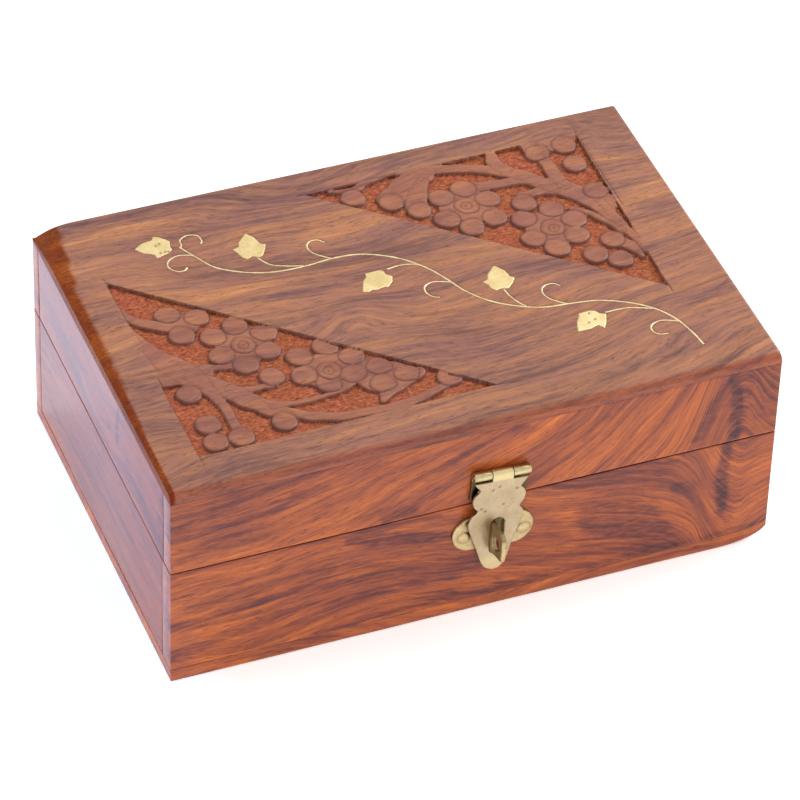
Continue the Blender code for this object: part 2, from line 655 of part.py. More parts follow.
def hasp_leaf(frame, spans, others, lid_front):
    half = HASP_LONG / 2
    leaf = into(frame, block("hasp_lid_leaf", (-half, BARREL - SHEET, -HASP_LEAF_TALL),
                             (half, BARREL, 0.0)))
    knuckles(leaf, spans, others)
    for i, across in enumerate((-4.4, 4.4)):
        nailed(f"hasp_leaf_nail_{i + 1}", FLAT_HEAD, frame, across, -5.4, leaf, lid_front)
    riveted_pin("hasp_pin", half, frame)
    return paint(leaf, BRASS, 0.35, 1.0)


def hasp_flap(frame, spans, others):
    """The scalloped flap, rolled at its top round the pin and slotted for the staple."""
    outline = [(u, -v) for u, v in [*smooth_line(FLAP_LEFT, 2), *smooth_line(FLAP_RIGHT, 2)]]
    flap = into(frame, upright(flat_outline("hasp_flap", outline, BARREL - SHEET, BARREL)))
    low, high = spans[0]
    join(flap, block("hasp_flap_tongue", (low, -BARREL, -2 * BARREL),
                     (high, -BARREL + SHEET, 0.0), CUTTERS))
    slot = flat_outline("hasp_flap_slot", slot_outline(), 0.0, 2 * BARREL, CUTTERS)
    cut(flap, upright(slot))
    knuckles(flap, spans, others)
    return paint(flap, PALE_BRASS, 0.38, 1.0)


def hasp_staple(frame, box_front):
    """One strip: two round lobes flat on the box, folded between them into a lug with an eye."""
    back = BARREL - SHEET
    drop = -STAPLE_DROP
    tip = BARREL_OUT - LUG_OUT
    top = drop + LUG_TALL / 2
    foot = drop - LUG_TALL / 2
    plate = into(frame, block("hasp_staple", (-LOBE_APART, back, drop - WAIST),
                              (LOBE_APART, BARREL, drop + WAIST)))
    for side in (-1, 1):
        join(plate, rod(f"hasp_staple_lobe_{side}", LOBE_RADIUS, back, BARREL, "Y", CUTTERS,
                        (side * LOBE_APART, drop)))
    profile = ((BARREL - 0.1, top), (tip + 2.2, top - 0.7), (tip + 0.6, top - 1.9),
               (tip, top - 3.4), (tip, foot + 1.6), (tip + 0.5, foot + 0.5),
               (tip + 1.6, foot), (BARREL - 0.1, foot))
    lug = flat_outline("hasp_staple_lug", profile, -LUG_THICK / 2, LUG_THICK / 2, CUTTERS)
    # The profile's X is the way out of the box and its Y the height: it is turned on edge.
    lug.data.transform(Matrix(((0, 0, 1, 0), (1, 0, 0, 0), (0, 1, 0, 0), (0, 0, 0, 1))))
    join(plate, lug)
    cut(plate, rod("hasp_staple_eye", EYE_RADIUS, -LUG_THICK, LUG_THICK, "X", CUTTERS,
                   (tip + EYE_IN, drop - 0.6), 16))
    for side, across in (("left", -7.3), ("right", 7.7)):
        nailed(f"staple_nail_{side}", DOME_HEAD, frame, across, drop - 0.6, plate, box_front)
    return paint(plate, BRASS, 0.35, 1.0)


def hasp(lid_front, box_front):
    """Leaf and barrel on the lid, the flap on its pin, and the staple on the box."""
    place = (HASP_X, FRONT - BARREL_OUT, HASP_Z)
    lid_frame = frame_at("hasp_lid", place, HASP_TILT)
    flap_axis = frame_at("flap_axis", place, HASP_TILT)
    box_frame = frame_at("hasp_box", place, HASP_TILT)
    half = HASP_LONG / 2
    middle = MIDDLE_KNUCKLE / 2
    outer = [(-half, -middle - KNUCKLE_GAP), (middle + KNUCKLE_GAP, half)]
    inner = [(-middle, middle)]
    hasp_leaf(lid_frame, outer, inner, lid_front)
    hasp_flap(flap_axis, inner, outer)
    hasp_staple(box_frame, box_front)
    return lid_frame, flap_axis


# ---- Assembly -------------------------------------------------------------------
def hold(axis, pieces):
    """Parents pieces to an empty on their joint axis, and leaves them where they are."""
    bpy.context.view_layer.update()
    for piece in pieces:
        piece.parent = axis
        piece.matrix_parent_inverse = axis.matrix_world.inverted()


def main():
    base_board()
    box = frame_boards("box", BASE_THICK + GLUE_GAP, SEAM_LOW, BOX_FRONT_BOARD)
    lid = frame_boards("lid", SEAM_HIGH, LIP_UNDER - GLUE_GAP, LID_FRONT_BOARD)
    panels = (
        panel_cutter("panel_front", PANEL_FRONT, FLOWERS_FRONT, BUDS_FRONT, BLADES_FRONT,
                     FILLS_FRONT),
        panel_cutter("panel_back", PANEL_BACK, FLOWERS_BACK, BUDS_BACK, BLADES_BACK,
                     FILLS_BACK),
    )
    lid_top = top_board(wear_cutter(), panels)
    inlay = [wire("vine_wire", VINE, lid_top)]
    inlay += [wire(f"stalk_wire_{i + 1}", line, lid_top) for i, line in enumerate(STALKS)]
    inlay += [wire(f"tendril_wire_{i + 1}", line, lid_top) for i, line in enumerate(TENDRILS)]
    inlay += [inlaid_leaf(f"brass_leaf_{i + 1}", line, lid_top) for i, line in enumerate(LEAVES)]

    lid_axis = frame_at("lid_axis", (0.0, -FRONT + BARREL_OUT, SEAM))
    frames = [back_hinge("left", -HINGE_X, lid["back"], box["back"]),
              back_hinge("right", HINGE_X, lid["back"], box["back"]),
              *hasp(lid["front"], box["front"])]
    hold(lid_axis, [*lid.values(), lid_top, *inlay, *frames])


main()
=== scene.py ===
"""Looks of an inlaid sheesham box with a hinged lid, a carved top and a brass hasp.

Lengths are in millimetres until a mesh is made, and places on the top are measured
from its front left corner, as in the CAD.
"""

import json
import math

import bpy
import numpy as np
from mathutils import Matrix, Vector


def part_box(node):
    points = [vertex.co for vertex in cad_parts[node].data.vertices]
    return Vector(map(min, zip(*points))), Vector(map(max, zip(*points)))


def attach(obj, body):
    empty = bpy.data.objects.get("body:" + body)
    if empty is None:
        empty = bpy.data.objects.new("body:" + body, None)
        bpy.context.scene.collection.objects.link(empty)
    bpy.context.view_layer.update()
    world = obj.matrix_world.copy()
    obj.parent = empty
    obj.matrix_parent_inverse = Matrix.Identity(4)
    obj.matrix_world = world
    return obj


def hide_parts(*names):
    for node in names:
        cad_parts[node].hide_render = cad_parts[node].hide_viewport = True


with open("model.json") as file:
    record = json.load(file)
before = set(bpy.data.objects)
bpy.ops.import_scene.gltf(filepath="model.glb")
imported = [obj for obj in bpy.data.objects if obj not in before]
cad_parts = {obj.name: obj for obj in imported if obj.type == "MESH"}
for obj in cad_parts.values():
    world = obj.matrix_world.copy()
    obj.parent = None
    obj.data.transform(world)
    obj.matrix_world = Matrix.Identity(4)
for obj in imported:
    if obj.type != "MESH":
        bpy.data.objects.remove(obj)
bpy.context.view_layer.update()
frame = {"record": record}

MM = 0.001


def span_of(node):
    """Lowest and highest corner of a CAD node, in millimetres."""
    low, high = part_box(node)
    return np.array(low) / MM, np.array(high) / MM


TOP_LOW, TOP_HIGH = span_of("lid_top")
LENGTH, WIDTH = (TOP_HIGH - TOP_LOW)[:2]
HEIGHT = TOP_HIGH[2]
LEFT, FRONT = TOP_LOW[:2]
TOP_LIP = 2.8               # the edge of the top board that shows
LIP_UNDER = HEIGHT - TOP_LIP

# ---- Carving and inlay, from the front left corner of the top -----------------
PANEL_FRONT = ((10.6, 10.6), (84.5, 11.8), (10.3, 76.8))
PANEL_BACK = ((138.2, 94.2), (66.5, 92.8), (136.6, 32.0))

# A flower is a button with six petals round it.
FLOWERS_FRONT = (
    ((33.3, 44.8), ((27.5, 43.0), (27.8, 50.0), (34.0, 52.2), (39.6, 47.6), (38.2, 41.0),
                    (31.8, 38.0))),
    ((49.3, 29.7), ((43.2, 30.0), (44.4, 36.6), (51.5, 38.3), (56.0, 33.0), (54.4, 26.8),
                    (47.6, 25.4))),
)
FLOWERS_BACK = (
    ((102.3, 76.4), ((96.0, 73.2), (97.6, 81.2), (103.9, 82.8), (108.3, 77.4), (107.0, 70.2),
                     (100.5, 68.3))),
    ((118.9, 61.8), ((113.6, 67.2), (121.2, 68.6), (125.0, 63.2), (123.3, 57.2),
                     (117.0, 54.2), (113.0, 59.4))),
)
PETAL_RADIUS = 3.2
BUD_RADIUS = 3.1
BUTTON_RADIUS = 2.9
FLOWER_RADIUS = 6.6         # the standing wood behind the petals
BUDS_FRONT = (
    (15.8, 32.6), (16.4, 20.9), (16.0, 14.6), (22.2, 14.2), (33.3, 16.3), (36.0, 32.0),
    (21.0, 53.0), (20.3, 61.0), (26.6, 58.0), (60.8, 27.4), (59.6, 21.4), (66.0, 23.0),
    (75.0, 18.6),
)
BUDS_BACK = (
    (77.3, 88.1), (85.4, 83.6), (90.9, 78.4), (116.0, 73.0), (124.8, 49.0), (131.0, 53.0),
    (130.0, 45.4), (126.4, 90.0), (133.8, 91.0), (133.6, 83.2), (134.2, 71.6),
)

# A blade is a tapering leaf or stem: x, y and half its width along its middle.
BLADES_FRONT = (
    ((9.9, 64.0, 0.4), (11.0, 54.0, 1.4), (13.4, 47.0, 2.5), (16.5, 41.5, 3.8),
     (18.5, 37.0, 3.0), (20.5, 32.0, 1.6), (22.0, 26.0, 1.2), (22.3, 17.0, 1.3)),
    ((9.8, 67.5, 0.5), (11.4, 63.4, 1.0), (13.8, 60.3, 1.4), (17.4, 57.6, 1.8),
     (21.0, 57.0, 2.2), (26.0, 57.8, 2.2)),
    ((18.0, 41.5, 1.0), (23.0, 39.6, 1.0), (28.5, 38.6, 1.0)),
    ((18.0, 38.0, 1.6), (21.5, 34.5, 2.4), (25.5, 29.6, 2.8), (29.0, 24.8, 2.6),
     (33.0, 22.2, 1.4), (40.0, 21.4, 0.8), (48.0, 21.9, 0.7), (55.0, 24.4, 0.8)),
    ((25.5, 30.8, 1.6), (30.0, 29.6, 1.0), (36.0, 29.4, 0.8)),
    ((29.4, 24.0, 1.8), (31.2, 20.2, 1.2), (35.0, 19.4, 1.2), (39.0, 16.6, 1.5),
     (45.0, 13.8, 1.4), (53.0, 13.1, 1.5), (61.0, 12.9, 1.4), (68.0, 14.3, 1.2),
     (74.0, 16.6, 0.9)),
    ((57.4, 15.8, 0.7), (60.0, 18.2, 1.8), (64.0, 20.6, 2.2), (69.0, 22.4, 1.6)),
)
BLADES_BACK = (
    ((72.5, 92.2, 0.5), (78.5, 91.0, 1.2), (83.0, 92.8, 0.8), (90.0, 94.0, 0.8),
     (98.0, 92.2, 1.6), (106.0, 90.5, 1.5), (113.0, 87.4, 1.6), (118.5, 84.0, 2.0),
     (123.0, 78.5, 2.4), (128.0, 74.5, 3.0), (131.5, 69.0, 2.6), (134.0, 62.0, 1.8),
     (136.0, 54.0, 1.2), (137.0, 46.0, 0.7)),
    ((84.0, 85.0, 1.8), (88.5, 88.0, 2.2), (94.0, 90.2, 1.8), (99.0, 91.6, 1.2)),
    ((90.5, 80.5, 2.6), (93.5, 85.5, 2.2), (95.5, 88.6, 1.6)),
    ((107.0, 82.4, 1.6), (113.0, 82.0, 1.4), (119.0, 81.2, 1.6), (123.5, 78.5, 1.6)),
    ((114.9, 95.6, 0.4), (115.2, 92.6, 1.6), (114.9, 89.6, 1.9), (116.4, 86.2, 1.8)),
    ((127.0, 88.5, 1.4), (127.2, 82.0, 1.8), (127.8, 76.0, 1.8)),
    ((116.5, 75.4, 1.6), (121.0, 75.8, 1.4), (126.0, 74.8, 1.8)),
    ((126.0, 67.0, 0.7), (129.0, 64.6, 0.9), (131.5, 61.0, 0.9), (134.6, 55.0, 0.8)),
    ((131.2, 52.6, 2.0), (134.0, 49.4, 1.6), (135.4, 45.0, 0.7)),
    ((134.2, 71.0, 2.6), (134.4, 66.5, 1.8), (134.6, 62.0, 1.2)),
)

# Standing wood between the cuts, as outlines.
FILLS_FRONT = (
    ((9.6, 66.0), (11.2, 57.5), (13.2, 51.6), (16.0, 46.6), (19.5, 42.8), (24.5, 40.4),
     (23.0, 36.8), (18.0, 36.6), (9.6, 36.6)),
    ((54.5, 30.4), (60.8, 30.4), (66.4, 26.6), (69.6, 21.6), (65.0, 18.6), (59.6, 17.4),
     (55.6, 20.6), (53.0, 25.0)),
    ((20.3, 61.0), (26.6, 60.8), (29.2, 57.5), (24.5, 53.2), (20.5, 55.0)),
)
FILLS_BACK = (
    ((123.5, 94.6), (138.6, 94.6), (137.0, 91.5), (130.0, 89.5), (123.5, 91.0)),
    ((130.5, 74.4), (137.0, 74.4), (136.8, 64.0), (131.5, 66.0)),
    ((84.0, 86.0), (88.0, 91.0), (96.0, 94.6), (101.0, 92.2), (98.0, 88.5), (92.0, 85.5),
     (88.0, 82.0)),
)
# Cuts that ran past the ends of the panels' edges.
OVERCUTS = (
    ((10.8, 7.6), (10.7, 40.0)),
    ((10.5, 60.0), (10.3, 78.0)),
    ((138.4, 97.0), (138.2, 64.0)),
    ((64.6, 92.9), (90.0, 93.6)),
    ((136.7, 29.6), (136.4, 38.0)),
    ((84.0, 11.9), (90.0, 11.4)),
)

# The vine is one wire, with stalks to four leaves and six curled tendrils.
VINE = (
    (31.2, 83.7), (33.7, 79.0), (36.4, 74.2), (40.0, 71.3), (44.5, 69.0), (50.0, 67.5),
    (57.0, 67.2), (64.0, 67.8), (70.0, 67.4), (75.0, 65.5), (80.0, 62.1), (84.2, 57.4),
    (87.2, 52.0), (90.0, 45.9), (94.0, 40.8), (99.0, 37.1), (105.0, 34.4), (112.0, 33.5),
    (118.5, 32.4), (125.0, 29.3), (130.0, 25.2), (133.2, 20.2), (135.0, 14.0), (135.7, 9.3),
)
STALKS = (
    ((47.5, 73.9), (49.4, 70.6), (52.5, 68.9), (57.0, 67.4)),
    ((75.2, 59.7), (78.6, 60.1), (82.0, 59.4), (84.0, 57.8)),
    ((98.8, 43.6), (99.3, 40.6), (100.6, 37.4), (101.6, 36.2)),
    ((118.3, 27.8), (123.4, 27.7), (127.8, 26.2), (130.2, 25.0)),
)
TENDRILS = (
    ((31.4, 83.3), (31.9, 84.4), (32.2, 86.2), (34.3, 87.4), (36.6, 86.6), (37.1, 84.6),
     (36.5, 83.2)),
    ((33.4, 79.5), (32.3, 80.2), (29.6, 80.8), (27.0, 79.6), (26.3, 77.4), (27.6, 75.4),
     (29.4, 75.0), (30.5, 75.9)),
    ((64.2, 67.9), (62.9, 68.9), (60.7, 71.2), (60.1, 73.7), (61.2, 75.5), (63.3, 75.6),
     (64.8, 74.0)),
    ((88.0, 50.1), (87.1, 50.6), (84.0, 51.7), (81.5, 50.8), (80.9, 48.6), (81.9, 46.6),
     (83.4, 45.8)),
    ((111.4, 33.6), (109.9, 34.6), (107.6, 37.1), (107.1, 39.8), (108.3, 41.6), (110.6, 41.8),
     (112.1, 40.4)),
    ((133.7, 19.0), (132.6, 19.6), (129.8, 20.7), (127.2, 20.1), (126.2, 18.2), (127.2, 16.3),
     (129.4, 15.8)),
)
LEAVES = (
    ((21.0, 86.4), (23.1, 87.9), (25.9, 88.3), (26.6, 89.5), (28.0, 88.6), (29.7, 86.6),
     (29.1, 84.8), (29.2, 83.5), (28.4, 82.7), (25.0, 81.6), (24.8, 83.1), (22.5, 84.4)),
    ((47.9, 83.4), (49.2, 81.5), (49.9, 78.6), (51.1, 78.2), (50.2, 76.3), (49.0, 74.4),
     (48.1, 74.1), (46.6, 74.9), (45.1, 74.3), (44.3, 75.2), (43.8, 77.0), (43.1, 78.7),
     (44.8, 79.1), (45.3, 80.8)),
    ((66.9, 53.7), (68.1, 53.3), (69.2, 53.7), (70.4, 53.4), (72.4, 53.9), (73.1, 53.5),
     (74.8, 55.2), (75.4, 56.8), (74.2, 58.1), (74.1, 59.3), (73.4, 59.9), (69.8, 59.8),
     (69.7, 58.6), (68.4, 57.3)),
    ((99.9, 52.5), (101.6, 50.0), (101.9, 47.6), (102.9, 46.9), (101.6, 45.2), (100.0, 43.7),
     (98.5, 44.2), (97.0, 43.9), (96.2, 45.2), (96.0, 46.5), (95.2, 47.7), (96.6, 48.2),
     (97.3, 49.9)),
    ((109.6, 23.4), (112.5, 23.4), (115.0, 24.2), (116.0, 22.7), (117.1, 24.4), (118.2, 27.2),
     (116.8, 27.9), (116.2, 29.0), (115.2, 29.5), (112.3, 29.4), (111.9, 28.3), (110.7, 26.6)),
)
WIRE_WIDTH = 0.45
CARVE_DEPTH, LUMP_DEPTH = 0.85, 0.6
PANEL_SUNK = 0.1            # wood standing in a panel is that much under the top
GROOVE_DEPTH, HOLLOW_DEPTH, INLAY_DEPTH = 0.2, 0.2, 0.25


# ---- Fields: distances and noise over arrays of points ------------------------
def table_noise(x, y, seed):
    """Smooth noise from 0 to 1 with one bump for each unit."""
    table = np.random.RandomState(seed).rand(128, 128)
    column, row = np.floor(x).astype(int), np.floor(y).astype(int)
    u, v = x - column, y - row
    u, v = u * u * (3 - 2 * u), v * v * (3 - 2 * v)

    def at(i, j):
        return table[(row + j) % 128, (column + i) % 128]

    low = at(0, 0) * (1 - u) + at(1, 0) * u
    high = at(0, 1) * (1 - u) + at(1, 1) * u
    return low * (1 - v) + high * v


def cloud(x, y, seed, octaves=3):
    """Layered noise round zero, each layer twice as fine and half as strong."""
    return sum((table_noise(x * 2**i, y * 2**i, seed + i) - 0.5) / 2**i for i in range(octaves))


def smooth_step(value, low, high):
    t = np.clip((value - low) / (high - low), 0, 1)
    return t * t * (3 - 2 * t)


def smooth_line(points, steps):
    """Points along a Catmull-Rom curve through points of any dimension."""
    points = [np.array(p, float) for p in points]
    ends = [2 * points[0] - points[1], *points, 2 * points[-1] - points[-2]]
    line = []
    for a, b, c, d in zip(ends, ends[1:], ends[2:], ends[3:]):
        for step in range(steps):
            t = step / steps
            line.append(0.5 * (2 * b + (c - a) * t + (2 * a - 5 * b + 4 * c - d) * t * t
                               + (3 * b - a - 3 * c + d) * t**3))
    return np.array([*line, points[-1]])


def along_segments(x, y, line):
    """For each point: distance to each segment of a line, and how far along it."""
    a, b = line[:-1, :2], line[1:, :2]
    ax, ay = x[:, None] - a[:, 0], y[:, None] - a[:, 1]
    bx, by = (b - a).T
    t = np.clip((ax * bx + ay * by) / (bx * bx + by * by + 1e-12), 0, 1)
    return np.hypot(ax - t * bx, ay - t * by), t


def stroke_distance(x, y, line):
    """Signed distance outside a stroke whose half width is the third column."""
    far, t = along_segments(x, y, line)
    half = line[:-1, 2] + (line[1:, 2] - line[:-1, 2]) * t
    return (far - half).min(axis=1)


def polygon_distance(x, y, corners):
    """Signed distance, positive outside a closed outline."""
    corners = np.asarray(corners, float)
    closed = np.vstack([corners, corners[:1]])
    far = along_segments(x, y, closed)[0].min(axis=1)
    inside = np.zeros(len(x), bool)
    for (ax, ay), (bx, by) in zip(closed, closed[1:]):
        crosses = (ay > y) != (by > y)
        if ay != by:
            inside ^= crosses & (x < (bx - ax) * (y - ay) / (by - ay) + ax)
    return np.where(inside, -far, far)


def spots(x, y, places, spread):
    """Small round marks, 1 in the middle of each place."""
    return sum((np.exp(-((x - a) ** 2 + (y - b) ** 2) / spread) for a, b in places),
               np.zeros(len(x)))


# ---- Meshes --------------------------------------------------------------------
class Corners:
    """Numbers the corners of a mesh, each once by its key."""

    def __init__(self):
        self.index, self.places = {}, []

    def number(self, key, place=None):
        if key not in self.index:
            self.index[key] = len(self.places)
            self.places.append(key if place is None else place)
        return self.index[key]


def placed(name, data):
    """A new object in the scene."""
    made = bpy.data.objects.new(name, data)
    bpy.context.scene.collection.objects.link(made)
    return made


def piece_of(name, points, faces, body, nodes, material, masks=None, grain=None):
    """A mesh piece from points in millimetres, which rides on a body for CAD nodes."""
    mesh = bpy.data.meshes.new(name)
    mesh.from_pydata((np.asarray(points) * MM).tolist(), [], faces)
    mesh.validate()
    for label, values in (masks or {}).items():
        layer = mesh.attributes.new(label, "FLOAT", "POINT")
        layer.data.foreach_set("value", np.asarray(values, np.float32))
    if grain is not None:
        layer = mesh.attributes.new("grain", "FLOAT_VECTOR", "POINT")
        layer.data.foreach_set("vector", np.asarray(grain, np.float32).ravel())
    mesh.shade_smooth()
    mesh.set_sharp_from_angle(angle=math.radians(50))
    mesh.materials.append(material)
    made = placed(name, mesh)
    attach(made, body)
    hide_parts(*nodes)


# ---- Materials -------------------------------------------------------------------
class Graph:
    """Adds nodes to one material. An input is a number, a tuple or another node's socket."""

    def __init__(self, name):
        self.material = bpy.data.materials.new(name)
        self.material.use_nodes = True
        self.tree = self.material.node_tree
        self.shader = self.tree.nodes["Principled BSDF"]

    def put(self, socket, value):
        if isinstance(value, bpy.types.NodeSocket):
            self.tree.links.new(value, socket)
        else:
            socket.default_value = value

    def node(self, kind, inputs, output=0, **settings):
        made = self.tree.nodes.new("ShaderNode" + kind)
        for key, value in settings.items():
            setattr(made, key, value)
        for key, value in inputs.items():
            self.put(made.inputs[key], value)
        return made.outputs[output]

    def math(self, operation, a, b=0.0, clamp=False):
        return self.node("Math", {0: a, 1: b}, operation=operation, use_clamp=clamp)

    def mix(self, factor, a, b, blend="MIX"):
        made = self.tree.nodes.new("ShaderNodeMix")
        made.data_type = "RGBA"
        made.blend_type = blend
        self.put(made.inputs["Factor"], factor)
        for key, value in ((6, a), (7, b)):
            self.put(made.inputs[key], (*value, 1.0) if isinstance(value, tuple) else value)
        return made.outputs[2]

    def scaled(self, value, part, clamp=False):
        return self.math("MULTIPLY", value, part, clamp)

    def weighted(self, *terms):
        """Sum of values, each times its weight."""
        total, *rest = [self.scaled(value, weight) for value, weight in terms]
        for term in rest:
            total = self.math("ADD", total, term)
        return total

    def stretched(self, vector, scale):
        return self.node("VectorMath", {0: vector, 1: scale}, operation="MULTIPLY")

    def place(self, scale, turn=(0.0, 0.0, 0.0), shift=(0.0, 0.0, 0.0)):
        """The object's own coordinates in millimetres, turned and then stretched."""
        place = self.stretched(self.node("TexCoord", {}, output="Object"), (1 / MM,) * 3)
        turned = self.node("Mapping", {"Vector": place, "Rotation": turn, "Location": shift})
        return self.stretched(turned, scale)

    def noise(self, vector, detail=3.0, roughness=0.5, distortion=0.0):
        return self.node("TexNoise", {"Vector": vector, "Scale": 1.0, "Detail": detail,
                                      "Roughness": roughness, "Distortion": distortion},
                         output="Fac")

    def ramp(self, value, stops):
        made = self.tree.nodes.new("ShaderNodeValToRGB")
        elements = made.color_ramp.elements
        while len(elements) < len(stops):
            elements.new(0.5)
        for element, (position, colour) in zip(elements, stops):
            element.position = position
            tone = colour if isinstance(colour, tuple) else (colour,) * 3
            element.color = (*tone, 1.0)
        self.put(made.inputs[0], value)
        return made.outputs[0]

    def mask(self, name, part=1.0, clamp=False):
        """What is painted on the mesh under a name, in part."""
        painted_on = self.node("Attribute", {}, output="Fac", attribute_name=name)
        return painted_on if part == 1.0 else self.scaled(painted_on, part, clamp)

    def bump(self, height, distance, strength=1.0, normal=None):
        inputs = {"Height": height, "Distance": distance, "Strength": strength}
        if normal is not None:
            inputs["Normal"] = normal
        return self.node("Bump", inputs, output="Normal")

    def finish(self, **values):
        for key, value in values.items():
            self.put(self.shader.inputs[key.replace("_", " ")], value)
        return self.material


def srgb(red, green, blue):
    """Linear colour from the usual eight-bit one."""
    return tuple(
        c / 12.92 if c <= 0.04045 else ((c + 0.055) / 1.055) ** 2.4
        for c in (red / 255, green / 255, blue / 255)
    )


WOOD_ROUGHNESS = 0.3
PATCHES = 0.6               # how strongly the wood varies from golden to cool


def sheesham(name, stops, contrast=1.35):
    """Varnished sheesham. The grain attribute runs along, across and into each board, and
    tone darkens the figure: streaks, fibres and open pores come from noise drawn out along it."""
    g = Graph(name)
    flow = g.node("Attribute", {}, output="Vector", attribute_name="grain")

    def drawn(along, across, **settings):
        return g.noise(g.stretched(flow, (along, across, across)), **settings)

    broad = drawn(0.02, 0.17, detail=3.0, roughness=0.55, distortion=0.4)
    streak = drawn(0.06, 0.8, detail=4.0, roughness=0.62, distortion=0.5)
    fibre = drawn(0.26, 3.2, detail=3.0, roughness=0.65)
    pore = drawn(0.4, 2.6, detail=2.0, roughness=0.6)
    tone = g.weighted((broad, 0.38 * contrast), (streak, 0.38 * contrast),
                      (fibre, 0.24 * contrast))
    tone = g.math("SUBTRACT", tone, 0.5 * (contrast - 1))
    tone = g.math("SUBTRACT", tone, g.mask("tone"))
    colour = g.ramp(tone, stops)
    patch = drawn(0.028, 0.2, detail=3.0, roughness=0.6, distortion=0.6)
    warm = g.ramp(patch, ((0.48, 0.0), (0.62, 1.0)))
    cool = g.ramp(patch, ((0.36, 1.0), (0.50, 0.0)))
    colour = g.mix(g.scaled(warm, PATCHES), colour, (1.22, 1.16, 0.86), "MULTIPLY")
    colour = g.mix(g.scaled(cool, PATCHES), colour, (0.86, 0.80, 1.12), "MULTIPLY")
    pits = g.ramp(pore, ((0.33, 1.0), (0.41, 0.0)))
    colour = g.mix(g.scaled(pits, 0.5), colour, srgb(62, 24, 20))
    amber = g.ramp(g.weighted((broad, 0.4), (fibre, 0.6)),
                   ((0.32, srgb(84, 30, 12)), (0.5, srgb(120, 52, 16)),
                    (0.68, srgb(158, 84, 26))))
    colour = g.mix(g.mask("worn"), colour, amber)
    rough = g.math("ADD", g.scaled(streak, 0.25), WOOD_ROUGHNESS)
    normal = g.bump(fibre, 0.00005, 0.35)
    normal = g.bump(g.math("SUBTRACT", 1.0, pits), 0.00008, 0.5, normal)
    return g, colour, rough, normal


STOPS_TOP = ((0.22, srgb(74, 44, 44)), (0.37, srgb(112, 68, 58)), (0.50, srgb(147, 94, 70)),
             (0.64, srgb(170, 110, 72)), (0.82, srgb(200, 142, 92)))
STOPS_FRONT = ((0.22, srgb(64, 26, 34)), (0.37, srgb(114, 51, 40)), (0.50, srgb(156, 77, 42)),
               (0.64, srgb(188, 98, 44)), (0.82, srgb(220, 134, 62)))
STOPS_END = ((0.22, srgb(58, 24, 32)), (0.37, srgb(106, 44, 38)), (0.50, srgb(144, 66, 42)),
             (0.64, srgb(168, 82, 44)), (0.82, srgb(198, 108, 60)))


def varnished(name, stops, coat=0.58, **settings):
    """The boards' wood under its varnish, which is thinner where it has dulled."""
    g, colour, rough, normal = sheesham(name, stops, **settings)
    coat = g.math("SUBTRACT", coat, g.mask("dull", 0.16))
    return g.finish(Base_Color=colour, Roughness=rough, Normal=normal,
                    Specular_IOR_Level=0.05, Coat_Weight=coat, Coat_Roughness=0.16)


# ---- Figure of the wood: strokes of darker (above 0) or paler wood --------------
def painted(u, v, strokes, seed, ragged=0.9):
    """Sum of ragged strokes along lines of (u, v, half width), each with its strength."""
    shake = cloud(u * 0.12 + seed, v * 0.9, seed, 3) * ragged
    fine = cloud(u * 0.5, v * 3.0 + seed, seed + 7, 2)
    total = np.zeros(len(u))
    for strength, line in strokes:
        line = smooth_line(line, 4)
        far = stroke_distance(u, v + shake, line)
        soft = 0.4 + 0.5 * line[:, 2].mean()
        total += 0.6 * strength * np.exp(-(np.clip(far, 0, None) / soft) ** 2) * (1 + 0.9 * fine)
    return total


# From the left end of the front and up from its foot.
FIGURE_LID_FRONT = (
    (0.14, ((-1, 47.6, 1.2), (8, 47.2, 1.4), (20, 47.0, 1.2), (30, 48.0, 0.8), (38, 49.6, 0.4))),
    (0.09, ((0, 50.6, 0.3), (20, 49.8, 0.5), (30, 50.6, 0.6), (40, 52.2, 0.6), (50, 53.6, 0.4))),
    (0.12, ((2, 37.4, 0.4), (8, 39.6, 0.9), (14, 41.0, 0.6), (22, 42.4, 0.3))),
    (0.08, ((0, 44.2, 0.5), (10, 44.6, 0.4), (16, 45.4, 0.2))),
    (0.12, ((52, 36.4, 0.6), (57, 39.2, 0.9), (63, 43.0, 0.8), (70, 48.0, 0.6), (76, 51.2, 0.3))),
    (0.20, ((53, 34.6, 0.6), (57, 35.0, 1.2), (60, 36.0, 0.3))),
    (0.10, ((58, 36.4, 0.4), (66, 40.4, 0.7), (72, 44.4, 0.3))),
    (0.10, ((60, 45.6, 0.3), (68, 48.6, 0.5), (75, 51.6, 0.3))),
    (0.12, ((83, 54.4, 0.5), (86, 53.4, 0.8), (92, 51.6, 0.2))),
    (0.12, ((102, 45.6, 0.2), (105, 49.6, 0.3), (108, 51.4, 0.2))),
    (0.24, ((139.4, 56, 0.5), (140.6, 50, 0.7), (141.2, 44, 0.9), (141.0, 38, 0.9),
            (140.6, 33, 0.8))),
    (0.17, ((130.6, 37, 0.2), (132.6, 41, 0.35), (134.8, 47, 0.4), (138.6, 53, 0.5))),
    (0.10, ((132.0, 37, 0.2), (135.4, 42.6, 0.3), (138.8, 50, 0.3))),
    (0.09, ((142.6, 55, 0.8), (143.4, 50, 0.9), (142.6, 42, 0.8), (142, 35, 0.5))),
    (0.07, ((147, 55, 2.0), (148, 45, 2.5), (149, 35, 2.0))),
    (0.07, ((123.6, 43, 0.15), (126.6, 48, 0.25), (130, 54, 0.2))),
    (-0.06, ((28, 41, 2.0), (36, 44, 3.0), (46, 46, 2.0))),
    (-0.06, ((98, 38, 3.0), (108, 44, 5.0), (122, 47, 4.0))),
    (0.06, ((134, 36, 4.0), (142, 46, 6.0), (150, 52, 4.0))),
    (-0.06, ((60, 46.6, 0.4), (68, 50.4, 0.6), (76, 54.0, 0.6))),
)
